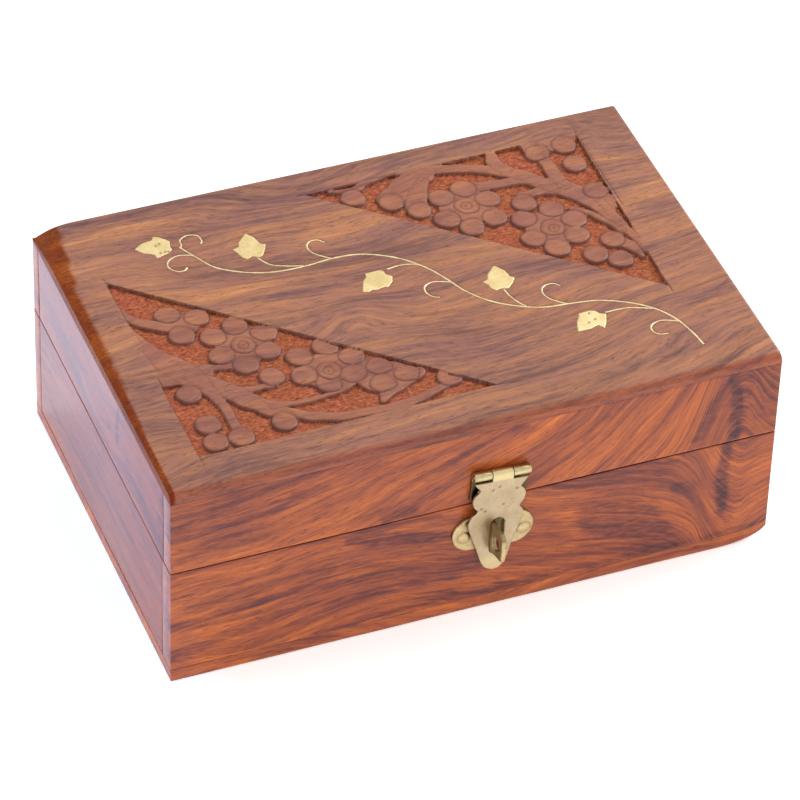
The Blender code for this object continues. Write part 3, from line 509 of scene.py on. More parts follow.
FIGURE_BOX_FRONT = (
    (0.24, ((44, 30.6, 0.4), (49, 30.2, 1.3), (55, 28.6, 1.5), (62, 26.6, 1.1), (70, 25.0, 0.8))),
    (0.13, ((-1, 17.6, 0.6), (6, 16.2, 0.8), (14, 17.2, 0.6), (22, 19.0, 0.6), (31, 19.6, 0.7),
            (44, 18.2, 0.9), (56, 17.0, 0.7), (64, 15.0, 0.6), (77, 13.4, 0.4))),
    (0.08, ((2, 13.0, 0.2), (8, 13.6, 0.4), (14, 14.7, 0.4), (22, 15.6, 0.2))),
    (0.13, ((-1, 8.0, 0.5), (8, 9.2, 0.8), (15, 11.0, 0.8), (22, 12.4, 0.7), (31, 13.4, 0.8),
            (45, 13.8, 0.7), (57, 13.0, 0.6), (72, 11.2, 0.4))),
    (0.08, ((4, 7.0, 0.3), (12, 8.7, 0.5), (20, 10.2, 0.4), (30, 11.6, 0.2))),
    (0.09, ((30, 9.2, 0.3), (45, 8.8, 0.6), (55, 8.4, 0.5), (72, 7.4, 0.3))),
    (0.09, ((4, 22.4, 0.2), (14, 23.6, 0.5), (26, 24.0, 0.3), (40, 23.8, 0.3))),
    (0.16, ((36, 4.0, 0.4), (50, 4.2, 0.9), (62, 4.4, 0.9), (78, 4.8, 1.0), (92, 4.6, 0.8),
            (112, 4.3, 0.5), (132, 4.3, 0.5), (152, 4.0, 0.6))),
    (0.17, ((104, 21, 2.0), (110, 18.6, 4.0), (117, 15.6, 4.0), (123, 9.6, 2.4), (128, 4.6, 1.4))),
    (0.10, ((89, 18.4, 0.3), (96, 15.6, 0.5), (105, 13.5, 0.5), (114, 11.8, 0.3))),
    (0.10, ((84, 11.0, 0.3), (98, 9.6, 0.6), (112, 7.4, 0.5), (122, 5.6, 0.3))),
    (0.26, ((139.6, 34, 0.6), (139.3, 28, 0.8), (138.7, 24, 0.9), (139.2, 18, 0.9),
            (139.6, 11.5, 0.4))),
    (0.10, ((127.6, 22.6, 1.2), (130.0, 22.4, 1.4))),
    (0.07, ((96, 28, 5.0), (112, 24, 8.0), (130, 16, 8.0))),
    (0.10, ((124.6, 32.4, 0.7), (126.2, 32.2, 0.6))),
    (-0.09, ((95.4, 24.6, 0.5), (99.6, 21.4, 1.2), (101.6, 15.6, 0.6))),
    (-0.06, ((136.4, 30, 0.8), (136.4, 20, 1.2), (137, 12, 0.6))),
    (-0.08, ((144, 8, 1.0), (147, 14, 2.0), (150, 24, 2.0))),
    (-0.07, ((0, 23.4, 1.2), (10, 27.4, 1.6), (24, 31.0, 1.0))),
    (-0.07, ((1, 5.0, 1.6), (8, 4.6, 1.2), (18, 4.2, 0.5))),
)
FIGURE_BASE = (
    (0.14, ((20, 0.8, 0.5), (30, 1.6, 0.7), (42, 2.6, 0.6))),
    (-0.12, ((-1, 2.4, 2.6), (10, 2.4, 2.4), (20, 2.6, 1.0))),
    (-0.05, ((92, 2.0, 0.6), (112, 2.0, 0.8), (130, 1.8, 0.4))),
)
# From the front of each left end.
FIGURE_LID_LEFT = (
    (0.22, ((37.2, 53.5, 0.2), (37.6, 50, 0.5), (38.4, 45.6, 0.6), (38.2, 42, 0.2))),
    (0.14, ((43, 44, 0.2), (46, 41.6, 0.4), (50, 40.4, 0.2))),
    (0.10, ((60, 46, 0.3), (68, 44, 0.5), (78, 44.6, 0.3))),
    (0.14, ((1, 33.6, 0.15), (1, 40, 0.2), (1, 46, 0.12))),
    (0.12, ((3, 36, 1.5), (5, 42, 3.0), (4, 50, 2.0))),
)
FIGURE_BOX_LEFT = (
    (0.10, ((20, 22, 0.4), (36, 20, 0.7), (54, 21, 0.4))),
    (0.10, ((60, 14, 0.4), (74, 12, 0.8), (90, 13, 0.4))),
    (-0.12, ((70, 5, 1.2), (84, 6, 1.8), (98, 6, 1.2))),
)
FIGURE_LIP = (
    (0.12, ((48, 56.2, 0.3), (62, 56.0, 0.6), (78, 56.1, 0.5), (94, 56.3, 0.5), (104, 57, 0.4))),
    (0.08, ((104, 57.4, 0.4), (116, 56.8, 0.8), (128, 57.4, 0.4))),
)


def arch_lid(u):
    """How far the grain of the lid's front has risen, u along it."""
    return np.interp(u, (-5, 20, 45, 75, 100, 126, 134, 139.5, 142, 146, 157),
                     (0, 2, 7, 19, 31, 48, 66, 92, 92, 80, 74))


def arch_box(u):
    """The same for the front of the box."""
    return np.interp(u, (-5, 20, 34, 48, 60, 80, 110, 130, 137, 139.5, 142, 157),
                     (0, 5.4, 8.0, 8.4, 7.0, 2.6, -6.0, -14, -26, -40, -36, -30))


def soft_curve(curve, u, width=5.0):
    """A bent line rounded off over a width."""
    return np.mean([curve(u + offset) for offset in np.linspace(-width, width, 7)], axis=0)


WORN_WIDTH = ((0, 20, 40, 60, 75, 85, 93, 102), (1.1, 1.4, 2.1, 2.4, 2.8, 4.2, 5.3, 6.0))
WORN_DROP, WORN_ALONG_BACK, WORN_ALONG_END = 2.4, 6.5, 12.0
WORN_BLEND = 1.4            # how softly the worn corner runs into the top
LEFT_EDGE_DROP = 0.5


def worn_down(x, y, z):
    """Heights blended into the sanded back left corner and an eased left edge."""
    reach = 1 - x / WORN_ALONG_BACK - (WIDTH - y) / WORN_ALONG_END
    wear = HEIGHT - WORN_DROP * reach
    share = np.clip(0.5 + 0.5 * (wear - z) / WORN_BLEND, 0, 1)
    z = wear * (1 - share) + z * share - WORN_BLEND * share * (1 - share)
    edge = np.clip(1 - x / np.interp(y, *WORN_WIDTH), 0, 1)
    return z - LEFT_EDGE_DROP * edge**2


FIGURES = {
    "lid_front": (FIGURE_LID_FRONT, arch_lid),
    "box_front": (FIGURE_BOX_FRONT, arch_box),
    "base_board": (FIGURE_BASE, None),
    "lid_left_end": (FIGURE_LID_LEFT, None),
    "box_left_end": (FIGURE_BOX_LEFT, None),
}


# ---- Boards: fine boxes with eased, slightly uneven edges --------------------------
def lattice_box(low, high, steps, ease):
    """A box's surface as a grid, its edges rounded off by so much along each axis."""
    low, high, ease = np.array(low), np.array(high), np.array(ease)
    ticks = []
    for a, b, step, e in zip(low, high, steps, ease):
        inner = np.linspace(a + e, b - e, max(2, int(round((b - a - 2 * e) / step)) + 1))
        ticks.append(np.array([a, a + e * 0.45, *inner, b - e * 0.45, b]))
    counts = [len(t) for t in ticks]
    corners, faces = Corners(), []
    for axis in range(3):
        a, b = (axis + 1) % 3, (axis + 2) % 3
        for end in (0, counts[axis] - 1):
            for i in range(counts[a] - 1):
                for j in range(counts[b] - 1):
                    ring = []
                    for di, dj in ((0, 0), (1, 0), (1, 1), (0, 1)):
                        key = [0, 0, 0]
                        key[axis], key[a], key[b] = end, i + di, j + dj
                        ring.append(corners.number(tuple(key)))
                    faces.append(tuple(ring if end else ring[::-1]))
    keys = np.array(corners.places)
    points = np.stack([ticks[axis][keys[:, axis]] for axis in range(3)], axis=1)
    core = np.clip(points, low + ease, high - ease)
    out = (points - core) / ease
    length = np.linalg.norm(out, axis=1, keepdims=True)
    rounded = core + out / np.maximum(length, 1e-9) * np.minimum(length, 1) * ease
    return rounded, faces


BOARD_SETTINGS = {
    # node: (step along each axis, grain axes along, across, into, seed)
    "box_front": ((0.6, 3.0, 0.5), (0, 2, 1), 11),
    "lid_front": ((0.6, 3.0, 0.5), (0, 2, 1), 29),
    "base_board": ((0.8, 1.6, 0.5), (0, 2, 1), 43),
    "box_left_end": ((3.0, 0.7, 0.7), (1, 2, 0), 57),
    "lid_left_end": ((1.0, 0.7, 0.7), (1, 2, 0), 71),
    "box_right_end": ((3.0, 1.2, 1.0), (1, 2, 0), 83),
    "lid_right_end": ((3.0, 1.2, 1.0), (1, 2, 0), 97),
    "box_back": ((1.2, 3.0, 1.0), (0, 2, 1), 113),
    "lid_back": ((0.7, 1.5, 0.8), (0, 2, 1), 127),
}
WORN_BOARDS = ("lid_left_end", "lid_back")
BOARD_EASE = (0.28, 0.28, 0.07)
JOINT_GAP = 0.02            # glued boards all but touch
SEAM_CLOSER = 0.07          # lid and box stand closer than in the CAD
FOOT_CLOSER = 0.12          # and the walls of the box reach down over the base
END_CLOSER = 0.1            # and the ends out over the front and back
# How far a board's faces bow and its grain sways and curls.
BOW, SWAY, CURL = 0.16, 9.0, 0.7
# The underside curves up over a length to the right end, and less further back.
FOOT_FROM, FOOT_REACH, FOOT_LIFT, FOOT_TALL = 139.5, 12.5, 4.6, 9.0
FOOT_FADE = (12, 50)


def body_of(node):
    """The body that the record gives a node to."""
    return next(body for body, members in frame["record"]["behaviour"]["bodies"].items()
                if node in members)


def sanded(points):
    """The boards under the worn end of the lid stop at the surface it was sanded to."""
    low, high = points[:, 2].min(), points[:, 2].max()
    x, y = points[:, 0] - LEFT, points[:, 1] - FRONT
    top = np.minimum(high, worn_down(x, y, np.full(len(x), HEIGHT)))
    cut = smooth_step(high - top, 0.02, 0.1) * smooth_step(points[:, 2], high - 0.12, high - 0.06)
    points[:, 2] = low + (points[:, 2] - low) * (top - low) / (high - low)
    return points, cut


def foot_rounded(points):
    """The underside curves up to the front right corner."""
    s = np.clip((points[:, 0] - LEFT - FOOT_FROM) / FOOT_REACH, 0, 0.98)
    fade = 1 - smooth_step(points[:, 1] - FRONT, *FOOT_FADE)
    lift = FOOT_LIFT * (1 - np.sqrt(1 - s * s)) * fade
    points[:, 2] += lift * np.clip(1 - points[:, 2] / FOOT_TALL, 0, 1)


def board(node, material):
    """One flat board of the box or the lid, with its figure, its wear and its dull varnish."""
    steps, axes, seed = BOARD_SETTINGS[node]
    low, high = span_of(node)
    if node.startswith("lid"):
        low[2], high[2] = low[2] - SEAM_CLOSER, LIP_UNDER - JOINT_GAP
    elif node != "base_board":
        low[2], high[2] = low[2] - FOOT_CLOSER, high[2] + SEAM_CLOSER
    if node.endswith("end"):
        low[1], high[1] = low[1] - END_CLOSER, high[1] + END_CLOSER
    points, faces = lattice_box(low, high, steps, BOARD_EASE)
    worn = np.zeros(len(points))
    if node in WORN_BOARDS:
        points, worn = sanded(points)
    along, up = points[:, axes[0]], points[:, 2]
    offset = along - (FRONT if axes[0] == 1 else LEFT)
    # The faces aren't quite flat.
    bow = cloud(along * 0.03 + seed, up * 0.05 + 9, seed, 2) * BOW
    face_axis = axes[2]
    middle = (points[:, face_axis].min() + points[:, face_axis].max()) / 2
    side = np.sign(points[:, face_axis] - middle)
    points[:, face_axis] -= side * np.abs(bow)
    grain = points[:, axes].copy()
    wave = cloud(along * 0.02 + seed, up * 0.03, seed + 3, 2) * SWAY
    curl = cloud(along * 0.1 + seed, up * 0.2, seed + 5, 3) * CURL
    grain[:, 1] += wave + curl
    tone = np.zeros(len(points))
    if node in FIGURES:
        figure, arch = FIGURES[node]
        tone = painted(offset, up, figure, seed)
        if arch is not None:
            grain[:, 1] -= soft_curve(arch, offset)
        outer = middle - points[:, face_axis] if node != "base_board" else 1.0
        tone *= smooth_step(np.asarray(outer, float), -1.5, 1.5)
    # The left end's varnish has dulled to its front.
    dull = np.zeros(len(points))
    if node.endswith("left_end"):
        dull = 1 - smooth_step(offset, 6.0, 44.0)
    elif node == "base_board":
        dull = 1 - smooth_step(offset, 0.2, 1.0)
    foot_rounded(points)
    grain += seed * 3.7
    piece_of(node.replace("_board", "") + "_panel", points, faces, body_of(node), [node],
             material, {"tone": tone, "worn": worn, "dull": dull}, grain)


# ---- The carved top -----------------------------------------------------------
UNITS_X, UNITS_Y, COARSE = 553, 370, 4
STEP_X, STEP_Y = LENGTH / UNITS_X, WIDTH / UNITS_Y
EDGE_ROUND = {"front": 2.0, "back": 0.7, "right": 0.9}
EDGE_CUT = 0.48             # width of the cut along the front panel's slanting edge
TOP_CLEAR = 0.04            # the top stays this far under the CAD's


def hand_cut(x, y):
    """Places shifted a little, so that no circle or curve is quite true."""
    return tuple(place + cloud(x * 0.26, y * 0.26, seed, 2) * 0.5
                 for place, seed in ((x, 51), (y, 54)))


def recess_depth_inside(x, y, panel, flowers, buds, blades, fills):
    """How far inside the carved ground of one panel each point is: below 0 is standing wood."""
    full = inside = -polygon_distance(x, y, panel) + cloud(x * 1.6, y * 1.6, 61, 2) * 0.22
    x, y = hand_cut(x, y)
    circles = [(middle, FLOWER_RADIUS) for middle, _ in flowers]
    circles += [(c, PETAL_RADIUS) for _, petals in flowers for c in petals]
    circles += [(c, BUD_RADIUS) for c in buds]
    standing = [np.hypot(x - cx, y - cy) - radius for (cx, cy), radius in circles]
    standing += [stroke_distance(x, y, smooth_line(blade, 3)) for blade in blades]
    standing += [polygon_distance(x, y, fill) for fill in fills]
    inside = np.min([inside, *standing], axis=0)
    if panel is PANEL_FRONT:
        # The slanting edge was cut right along, through whatever touches it.
        (ax, ay), (bx, by) = panel[1:]
        across = ((bx - ax) * (y - ay) - (by - ay) * (x - ax)) / math.hypot(bx - ax, by - ay)
        cut = EDGE_CUT / 2 - np.abs(across - EDGE_CUT / 2)
        inside = np.maximum(inside, np.minimum(full, cut))
    return inside


PANELS = (
    (PANEL_FRONT, FLOWERS_FRONT, BUDS_FRONT, BLADES_FRONT, FILLS_FRONT),
    (PANEL_BACK, FLOWERS_BACK, BUDS_BACK, BLADES_BACK, FILLS_BACK),
)


def carved(x, y):
    """How far inside the ground of either panel each point is."""
    return np.max([recess_depth_inside(x, y, *panel) for panel in PANELS], axis=0)


def overcut_distance(x, y):
    return np.min([along_segments(x, y, np.array(line))[0].min(axis=1) for line in OVERCUTS],
                  axis=0)


def inlay_distance(x, y):
    far = [along_segments(x, y, smooth_line(line, 3))[0].min(axis=1) - WIRE_WIDTH / 2
           for line in (VINE, *STALKS, *TENDRILS)]
    far += [polygon_distance(x, y, leaf) for leaf in LEAVES]
    return np.min(far, axis=0)


def coarse_ticks(count):
    """Lines of the coarse grid, closer together at both ends, where the edges are rounded."""
    near = (0, 1, 2, 3, 4, 6, 8)
    return sorted({*near, *range(12, count - 11, COARSE), *(count - t for t in near)})


def lid_top_lattice():
    """A grid that is four times as fine at the carving and inlay: corners, faces and border."""
    ticks_x, ticks_y = coarse_ticks(UNITS_X), coarse_ticks(UNITS_Y)
    mid_x = (np.array(ticks_x[:-1]) + ticks_x[1:]) / 2 * STEP_X
    mid_y = (np.array(ticks_y[:-1]) + ticks_y[1:]) / 2 * STEP_Y
    x, y = (m.ravel() for m in np.meshgrid(mid_x, mid_y, indexing="ij"))
    near = np.min([*(polygon_distance(x, y, panel[0]) for panel in PANELS),
                   inlay_distance(x, y) + 0.4, overcut_distance(x, y) + 0.4], axis=0)
    fine = (near < 1.0).reshape(len(mid_x), len(mid_y))
    corners, faces = Corners(), []
    for a in range(len(ticks_x) - 1):
        for b in range(len(ticks_y) - 1):
            x0, x1, y0, y1 = ticks_x[a], ticks_x[a + 1], ticks_y[b], ticks_y[b + 1]
            if fine[a, b]:
                faces += [tuple(map(corners.number,
                                    ((i, j), (i + 1, j), (i + 1, j + 1), (i, j + 1))))
                          for i in range(x0, x1) for j in range(y0, y1)]
                continue
            below = b > 0 and fine[a, b - 1]
            above = b + 1 < len(ticks_y) - 1 and fine[a, b + 1]
            before = a > 0 and fine[a - 1, b]
            after = a + 1 < len(ticks_x) - 1 and fine[a + 1, b]
            ring = [(i, y0) for i in (range(x0, x1) if below else (x0,))]
            ring += [(x1, j) for j in (range(y0, y1) if after else (y0,))]
            ring += [(i, y1) for i in (range(x1, x0, -1) if above else (x1,))]
            ring += [(x0, j) for j in (range(y1, y0, -1) if before else (y1,))]
            faces.append(tuple(map(corners.number, ring)))
    ring = [(i, 0) for i in ticks_x] + [(UNITS_X, j) for j in ticks_y[1:]]
    ring += [(i, UNITS_Y) for i in ticks_x[-2::-1]] + [(0, j) for j in ticks_y[-2:0:-1]]
    return np.array(corners.places), faces, [corners.index[key] for key in ring]


# From the front left corner of the top.
FIGURE_TOP = (
    (0.12, ((26, 92, 0.5), (38, 91, 1.0), (52, 91.6, 1.0), (66, 90.4, 0.6), (78, 90, 0.3))),
    (0.10, ((-1, 70.4, 0.8), (8, 70.6, 1.0), (18, 71.8, 0.4))),
    (0.12, ((4, 97.4, 0.5), (30, 99.0, 0.8), (70, 100.0, 0.8), (110, 99.6, 0.5))),
    (0.10, ((30, 87.6, 0.4), (44, 86.4, 0.8), (58, 87.0, 0.5))),
    (0.09, ((44, 95.6, 0.3), (60, 96.4, 0.6), (84, 97.0, 0.4), (104, 96.2, 0.3))),
    (0.09, ((34, 62.0, 0.3), (46, 59.0, 0.6), (56, 57.6, 0.3))),
    (0.13, ((59, 44.0, 0.5), (61, 46.4, 0.9), (63.4, 44.6, 0.6))),
    (0.08, ((52, 46.6, 0.4), (58, 50.4, 0.5), (66, 49.4, 0.4), (71, 45.4, 0.3))),
    (0.08, ((54, 42.4, 0.3), (60, 40.2, 0.4), (68, 40.4, 0.3))),
    (0.10, ((84, 11.0, 0.5), (92, 12.4, 1.0), (104, 13.6, 0.5))),
    (0.09, ((96, 6.0, 0.4), (116, 7.6, 0.8), (140, 9.6, 0.6), (152, 12, 0.4))),
    (0.08, ((70, 21.0, 0.3), (84, 23.4, 0.6), (100, 26.8, 0.4))),
    (0.08, ((14, 3.4, 0.4), (50, 4.0, 0.9), (96, 3.0, 0.5))),
    (0.09, ((120, 17.6, 0.3), (134, 22.0, 0.5), (150, 27.4, 0.5))),
    (0.08, ((142, 62, 0.6), (147, 60, 1.0), (152, 60, 0.8))),
    (0.08, ((139, 79, 0.3), (146, 78, 0.6), (152, 79, 0.6))),
    (0.07, ((100, 40.6, 0.4), (120, 43.6, 0.8), (140, 46.6, 0.5))),
    (-0.10, ((7, 76, 1.4), (14, 73.6, 2.0), (22, 74.6, 1.0))),
    (-0.09, ((60, 75, 1.4), (68, 80, 2.4), (76, 84.6, 1.2))),
    (-0.09, ((74, 94.4, 0.7), (86, 94.6, 1.0), (98, 95, 0.5))),
    (-0.08, ((7, 91, 1.4), (16, 93, 1.8), (30, 95, 0.8))),
    (-0.07, ((140, 86, 1.2), (147, 84, 2.0), (152, 85, 1.0))),
    (-0.07, ((54, 44, 1.0), (57.6, 47.4, 1.2), (65, 46.4, 1.0))),
    (-0.06, ((30, 67, 1.6), (44, 63, 2.4), (60, 62, 1.6))),
)


def top_rise(x, y):
    """How far the top's grain has drifted back at each place, round a knot in the middle."""
    slope = 0.24 * np.clip((60 - y) / 60, 0, 1) * np.clip(x - 55, 0, None)
    sway = 2.4 * np.sin((x + 0.4 * y) / 24.0) + cloud(x * 0.03, y * 0.06, 21, 2) * 6.0
    sway += cloud(x * 0.1, y * 0.2, 27, 3) * 0.7
    knot = 7.0 * np.exp(-(((x - 61) / 9.0) ** 2) - ((y - 45) / 6.0) ** 2)
    return slope + sway + knot


DROP_INSET = np.array([6.3, 5.3, 0.0])
DROP_BACK, DROP_OVERLAP = 0.5, 0.4
TOP_GRAIN_SHIFT, TOP_GRAIN_DOWN = 211.0, 1.4


def snapped(x, y):
    """Corners close to the edge of a cut moved onto it, so that the edge isn't stepped, with
    how far inside the cuts they are and how much the wall there faces the front left."""
    inside = carved(x, y)
    probe = 0.02
    slope_x = (carved(x + probe, y) - inside) / probe
    slope_y = (carved(x, y + probe) - inside) / probe
    length = np.maximum(np.hypot(slope_x, slope_y), 0.3)
    close = np.abs(inside) < 0.55 * STEP_X
    x = np.where(close, x - inside * slope_x / length**2, x)
    y = np.where(close, y - inside * slope_y / length**2, y)
    lee = np.clip(-(0.6 * slope_x + 0.8 * slope_y) / length, -0.6, 1)
    return x, y, np.where(close, 0.0, inside), lee


def flower_marks(x, y, standing):
    """Grooves, hollows and tones of the flowers, buds and blades, where wood is standing."""
    petals = [(c, PETAL_RADIUS) for p in PANELS for _, ring in p[1] for c in ring]
    petals += [(c, BUD_RADIUS) for p in PANELS for c in p[2]]
    buttons = [(m, BUTTON_RADIUS) for p in PANELS for m, _ in p[1]]
    grooves, hollows, tones = (np.zeros(len(x)) for _ in range(3))
    random = np.random.RandomState(8)
    x, y = hand_cut(x, y)
    # A later petal lies over an earlier one, and a button over them all.
    for (cx, cy), radius in petals + buttons:
        r = np.hypot(x - cx, y - cy)
        within = smooth_step(radius - r, -0.1, 0.1)
        ahead, lean = random.uniform(0, 2 * math.pi), random.uniform(0.3, 1.0)
        side = ((x - cx) * math.cos(ahead) + (y - cy) * math.sin(ahead)) / radius
        lower = ((cx - x) * 0.5 + (cy - y) * 0.87) / radius
        # Painted shade: each groove is darker, and cut deeper, on the front left of its circle, and
        # a broad soft band round it darkens the wood beside the cut and sinks it a little.
        groove = np.exp(-(((r - radius) / 0.2) ** 2)) * (0.75 + 0.4 * lower) * standing
        groove += 0.3 * np.exp(-(((r - radius) / 0.55) ** 2)) * standing
        grooves = np.maximum(grooves * (1 - within), groove)
        dish = np.clip(1 - (r / radius) ** 2, 0, 1) * (1 + 0.5 * side * lean)
        hollows = np.where(r < radius, dish - 0.4 * side * lean, hollows)
        tones = np.where(r < radius, random.uniform(-0.06, 0.04) + 0.05 * side, tones)
    for (cx, cy), _ in buttons:
        r = np.hypot(x - cx, y - cy)
        ring = 0.8 * np.exp(-(((r - 1.3) / 0.2) ** 2)) + np.exp(-((r / 0.32) ** 2))
        grooves = np.maximum(grooves, ring)
    # A blade's outline shows where it runs through other standing wood.
    for blade in (*BLADES_FRONT, *BLADES_BACK):
        far = stroke_distance(x, y, smooth_line(blade, 3))
        shown = 0.45 * np.exp(-((far / 0.16) ** 2)) * standing
        grooves = np.maximum(grooves, shown * (hollows == 0))
    return grooves, hollows, tones


def edges_rounded(x, y, z):
    """The long top edges and the right one are rounded."""
    for edge, t in (("front", y), ("back", WIDTH - y), ("right", LENGTH - x)):
        r = EDGE_ROUND[edge]
        s = np.clip(t / r, 0, 1) * math.pi / 2
        moved = np.where(t < r, r * (1 - np.cos(s)) - t, 0.0)
        z = z - np.where(t < r, r * (1 - np.sin(s)), 0.0)
        if edge == "front":
            y = y + moved
        elif edge == "back":
            y = y - moved
        else:
            x = x - moved
    return x, y, np.maximum(z, LIP_UNDER + 0.02)


def top_face(units):
    """The carved face: its points, masks and grain."""
    x, y, inside, lee = snapped(units[:, 0] * STEP_X, units[:, 1] * STEP_Y)
    ground = smooth_step(inside, 0.0, 0.25)
    standing = 1 - ground
    lumps = cloud(x * 0.9, y * 0.9, 5, 3) * 0.6 + cloud(x * 2.3, y * 2.3, 9, 1) * 0.3
    depth = ground * (CARVE_DEPTH + lumps * LUMP_DEPTH)
    panel_inside = np.max([-polygon_distance(x, y, p[0]) for p in PANELS], axis=0)
    raised = smooth_step(panel_inside, 0.0, 0.6) * standing
    depth += raised * (PANEL_SUNK + 0.2 * cloud(x * 0.3, y * 0.3, 15, 2))
    # Standing wood falls away a little to its edges.
    depth += raised * 0.12 * np.exp(np.clip(inside, None, 0) / 0.4)
    grooves, hollows, tones = flower_marks(x, y, standing)
    depth += np.clip(hollows, -0.3, None) * HOLLOW_DEPTH * standing
    overcuts = np.exp(-((overcut_distance(x, y) / 0.16) ** 2)) * standing
    grooves = np.maximum(grooves * (panel_inside > 0), overcuts)
    depth += grooves * GROOVE_DEPTH
    inlay = inlay_distance(x, y)
    depth += INLAY_DEPTH * smooth_step(-inlay, -0.02, 0.12)

    z = worn_down(x, y, HEIGHT - np.maximum(TOP_CLEAR + depth, 0.0))
    worn = smooth_step(np.interp(y, *WORN_WIDTH) + 0.3 * cloud(x * 0.8, y * 0.8, 33, 2) - x,
                       -0.25, 0.1)
    x, y, z = edges_rounded(x, y, z)
    masks = {
        "ground": ground,
        "line": grooves,
        "raised": raised,
        # Painted shade sits against the walls, most in front of them and to their left, with a
        # painted shadow on the ground there.
        "wall": (np.exp(-(((inside - 0.12) / 0.15) ** 2)) * (0.75 + 0.25 * lee)
                 + 0.55 * np.exp(-(((inside - 0.35) / 0.4) ** 2)) * np.clip(lee, 0, 1) * ground),
        "stain": np.exp(-np.clip(inlay, 0, None) / 0.3),
        "worn": worn,
        "tone": (painted(x, y, FIGURE_TOP, 3, 1.2) + tones) * standing,
        "lip": 1 - smooth_step(y, 0.2, 2.2),
    }
    grain = np.stack([x, y - top_rise(x, y), z * TOP_GRAIN_DOWN], axis=1) + TOP_GRAIN_SHIFT
    return np.stack([x + LEFT, y + FRONT, z], axis=1), masks, grain


def lid_top():
    """The whole top board: its carved face, its sides and the part that drops into the lid."""
    units, faces, border = lid_top_lattice()
    points, masks, grain = top_face(units)
    # Sides and underside close the board.
    count, n = len(points), len(border)
    under = points[border]
    under[:, 2] = LIP_UNDER
    points = np.vstack([points, under])
    low = list(range(count, count + n))
    faces += [(border[(i + 1) % n], border[i], low[i], low[(i + 1) % n]) for i in range(n)]
    faces.append(tuple(low[::-1]))
    for label, values in masks.items():
        kept = label in ("worn", "lip")
        masks[label] = np.concatenate([values, values[border] * kept])
    grain = np.vstack([grain, grain[border]])
    grain[count:, 2] = LIP_UNDER * TOP_GRAIN_DOWN + TOP_GRAIN_SHIFT
    offset = points[count:, 0] - LEFT
    near_front = points[count:, 1] < FRONT + 5
    masks["tone"][count:] = painted(offset, offset * 0 + 56.0, FIGURE_LIP, 5) * near_front

    drop_low, drop_high = TOP_LOW + DROP_INSET, TOP_HIGH - DROP_INSET
    drop_high[1:] = drop_high[1] + DROP_BACK, LIP_UNDER + DROP_OVERLAP
    below, more = lattice_box(drop_low, drop_high, (2.0, 2.0, 1.0), (0.2, 0.2, 0.2))
    count = len(points)
    faces += [tuple(v + count for v in face) for face in more]
    points, grain = np.vstack([points, below]), np.vstack([grain, below + TOP_GRAIN_SHIFT])
    for label, values in masks.items():
        masks[label] = np.concatenate([values, np.zeros(len(below))])
    return points, faces, masks, grain


def top_material():
    """The carved top: raw wood in the ground, and painted shade in the cuts."""
    g, colour, rough, normal = sheesham("carved_top_wood", STOPS_TOP, contrast=1.4)
    rough_noise = g.noise(g.place((0.9, 2.2, 2.2)), 4.0, 0.6)
    raw = g.ramp(rough_noise, ((0.25, srgb(96, 40, 28)), (0.5, srgb(158, 80, 54)),
                               (0.75, srgb(190, 120, 84))))
    olive = g.ramp(g.noise(g.place((0.12, 0.12, 0.12), shift=(3.0, 8.0, 0.0)), 3.0, 0.6),
                   ((0.42, 0.0), (0.62, 0.7)))
    raw = g.mix(olive, raw, (0.86, 0.98, 0.74), "MULTIPLY")
    colour = g.mix(g.mask("raised", 0.4), colour, srgb(150, 90, 74))
    colour = g.mix(g.mask("ground"), colour, raw)
    # Painted shade: the wood against the walls of the cuts is darkened.
    colour = g.mix(g.mask("wall", 0.8, clamp=True), colour, srgb(66, 24, 18))
    # Painted shade: the grooves are darkened, most on their front left sides.
    colour = g.mix(g.mask("line", 0.65, clamp=True), colour, srgb(84, 40, 32))
    colour = g.mix(g.mask("stain", 0.45), colour, srgb(104, 62, 40))
    colour = g.mix(g.mask("lip"), colour, (0.86, 0.52, 0.42), "MULTIPLY")
    rough = g.math("ADD", rough, g.mask("ground", 0.3))
    coat = g.math("SUBTRACT", 0.75, g.mask("ground", 0.6))
    coat = g.math("SUBTRACT", coat, g.mask("worn", 0.7), clamp=True)
    coat = g.math("SUBTRACT", coat, g.mask("raised", 0.3), clamp=True)
    return g.finish(Base_Color=colour, Roughness=rough, Normal=normal,
                    Specular_IOR_Level=0.05, Coat_Weight=coat, Coat_Roughness=0.3)


points, faces, masks, grain = lid_top()
piece_of("carved_top", points, faces, "lid", ["lid_top"],
         top_material(), masks, grain)

front_wood = varnished("board_wood_front", STOPS_FRONT)
end_wood = varnished("board_wood_ends", STOPS_END, coat=0.6, contrast=1.15)
for node in BOARD_SETTINGS:
    board(node, end_wood if node.endswith("left_end") else front_wood)


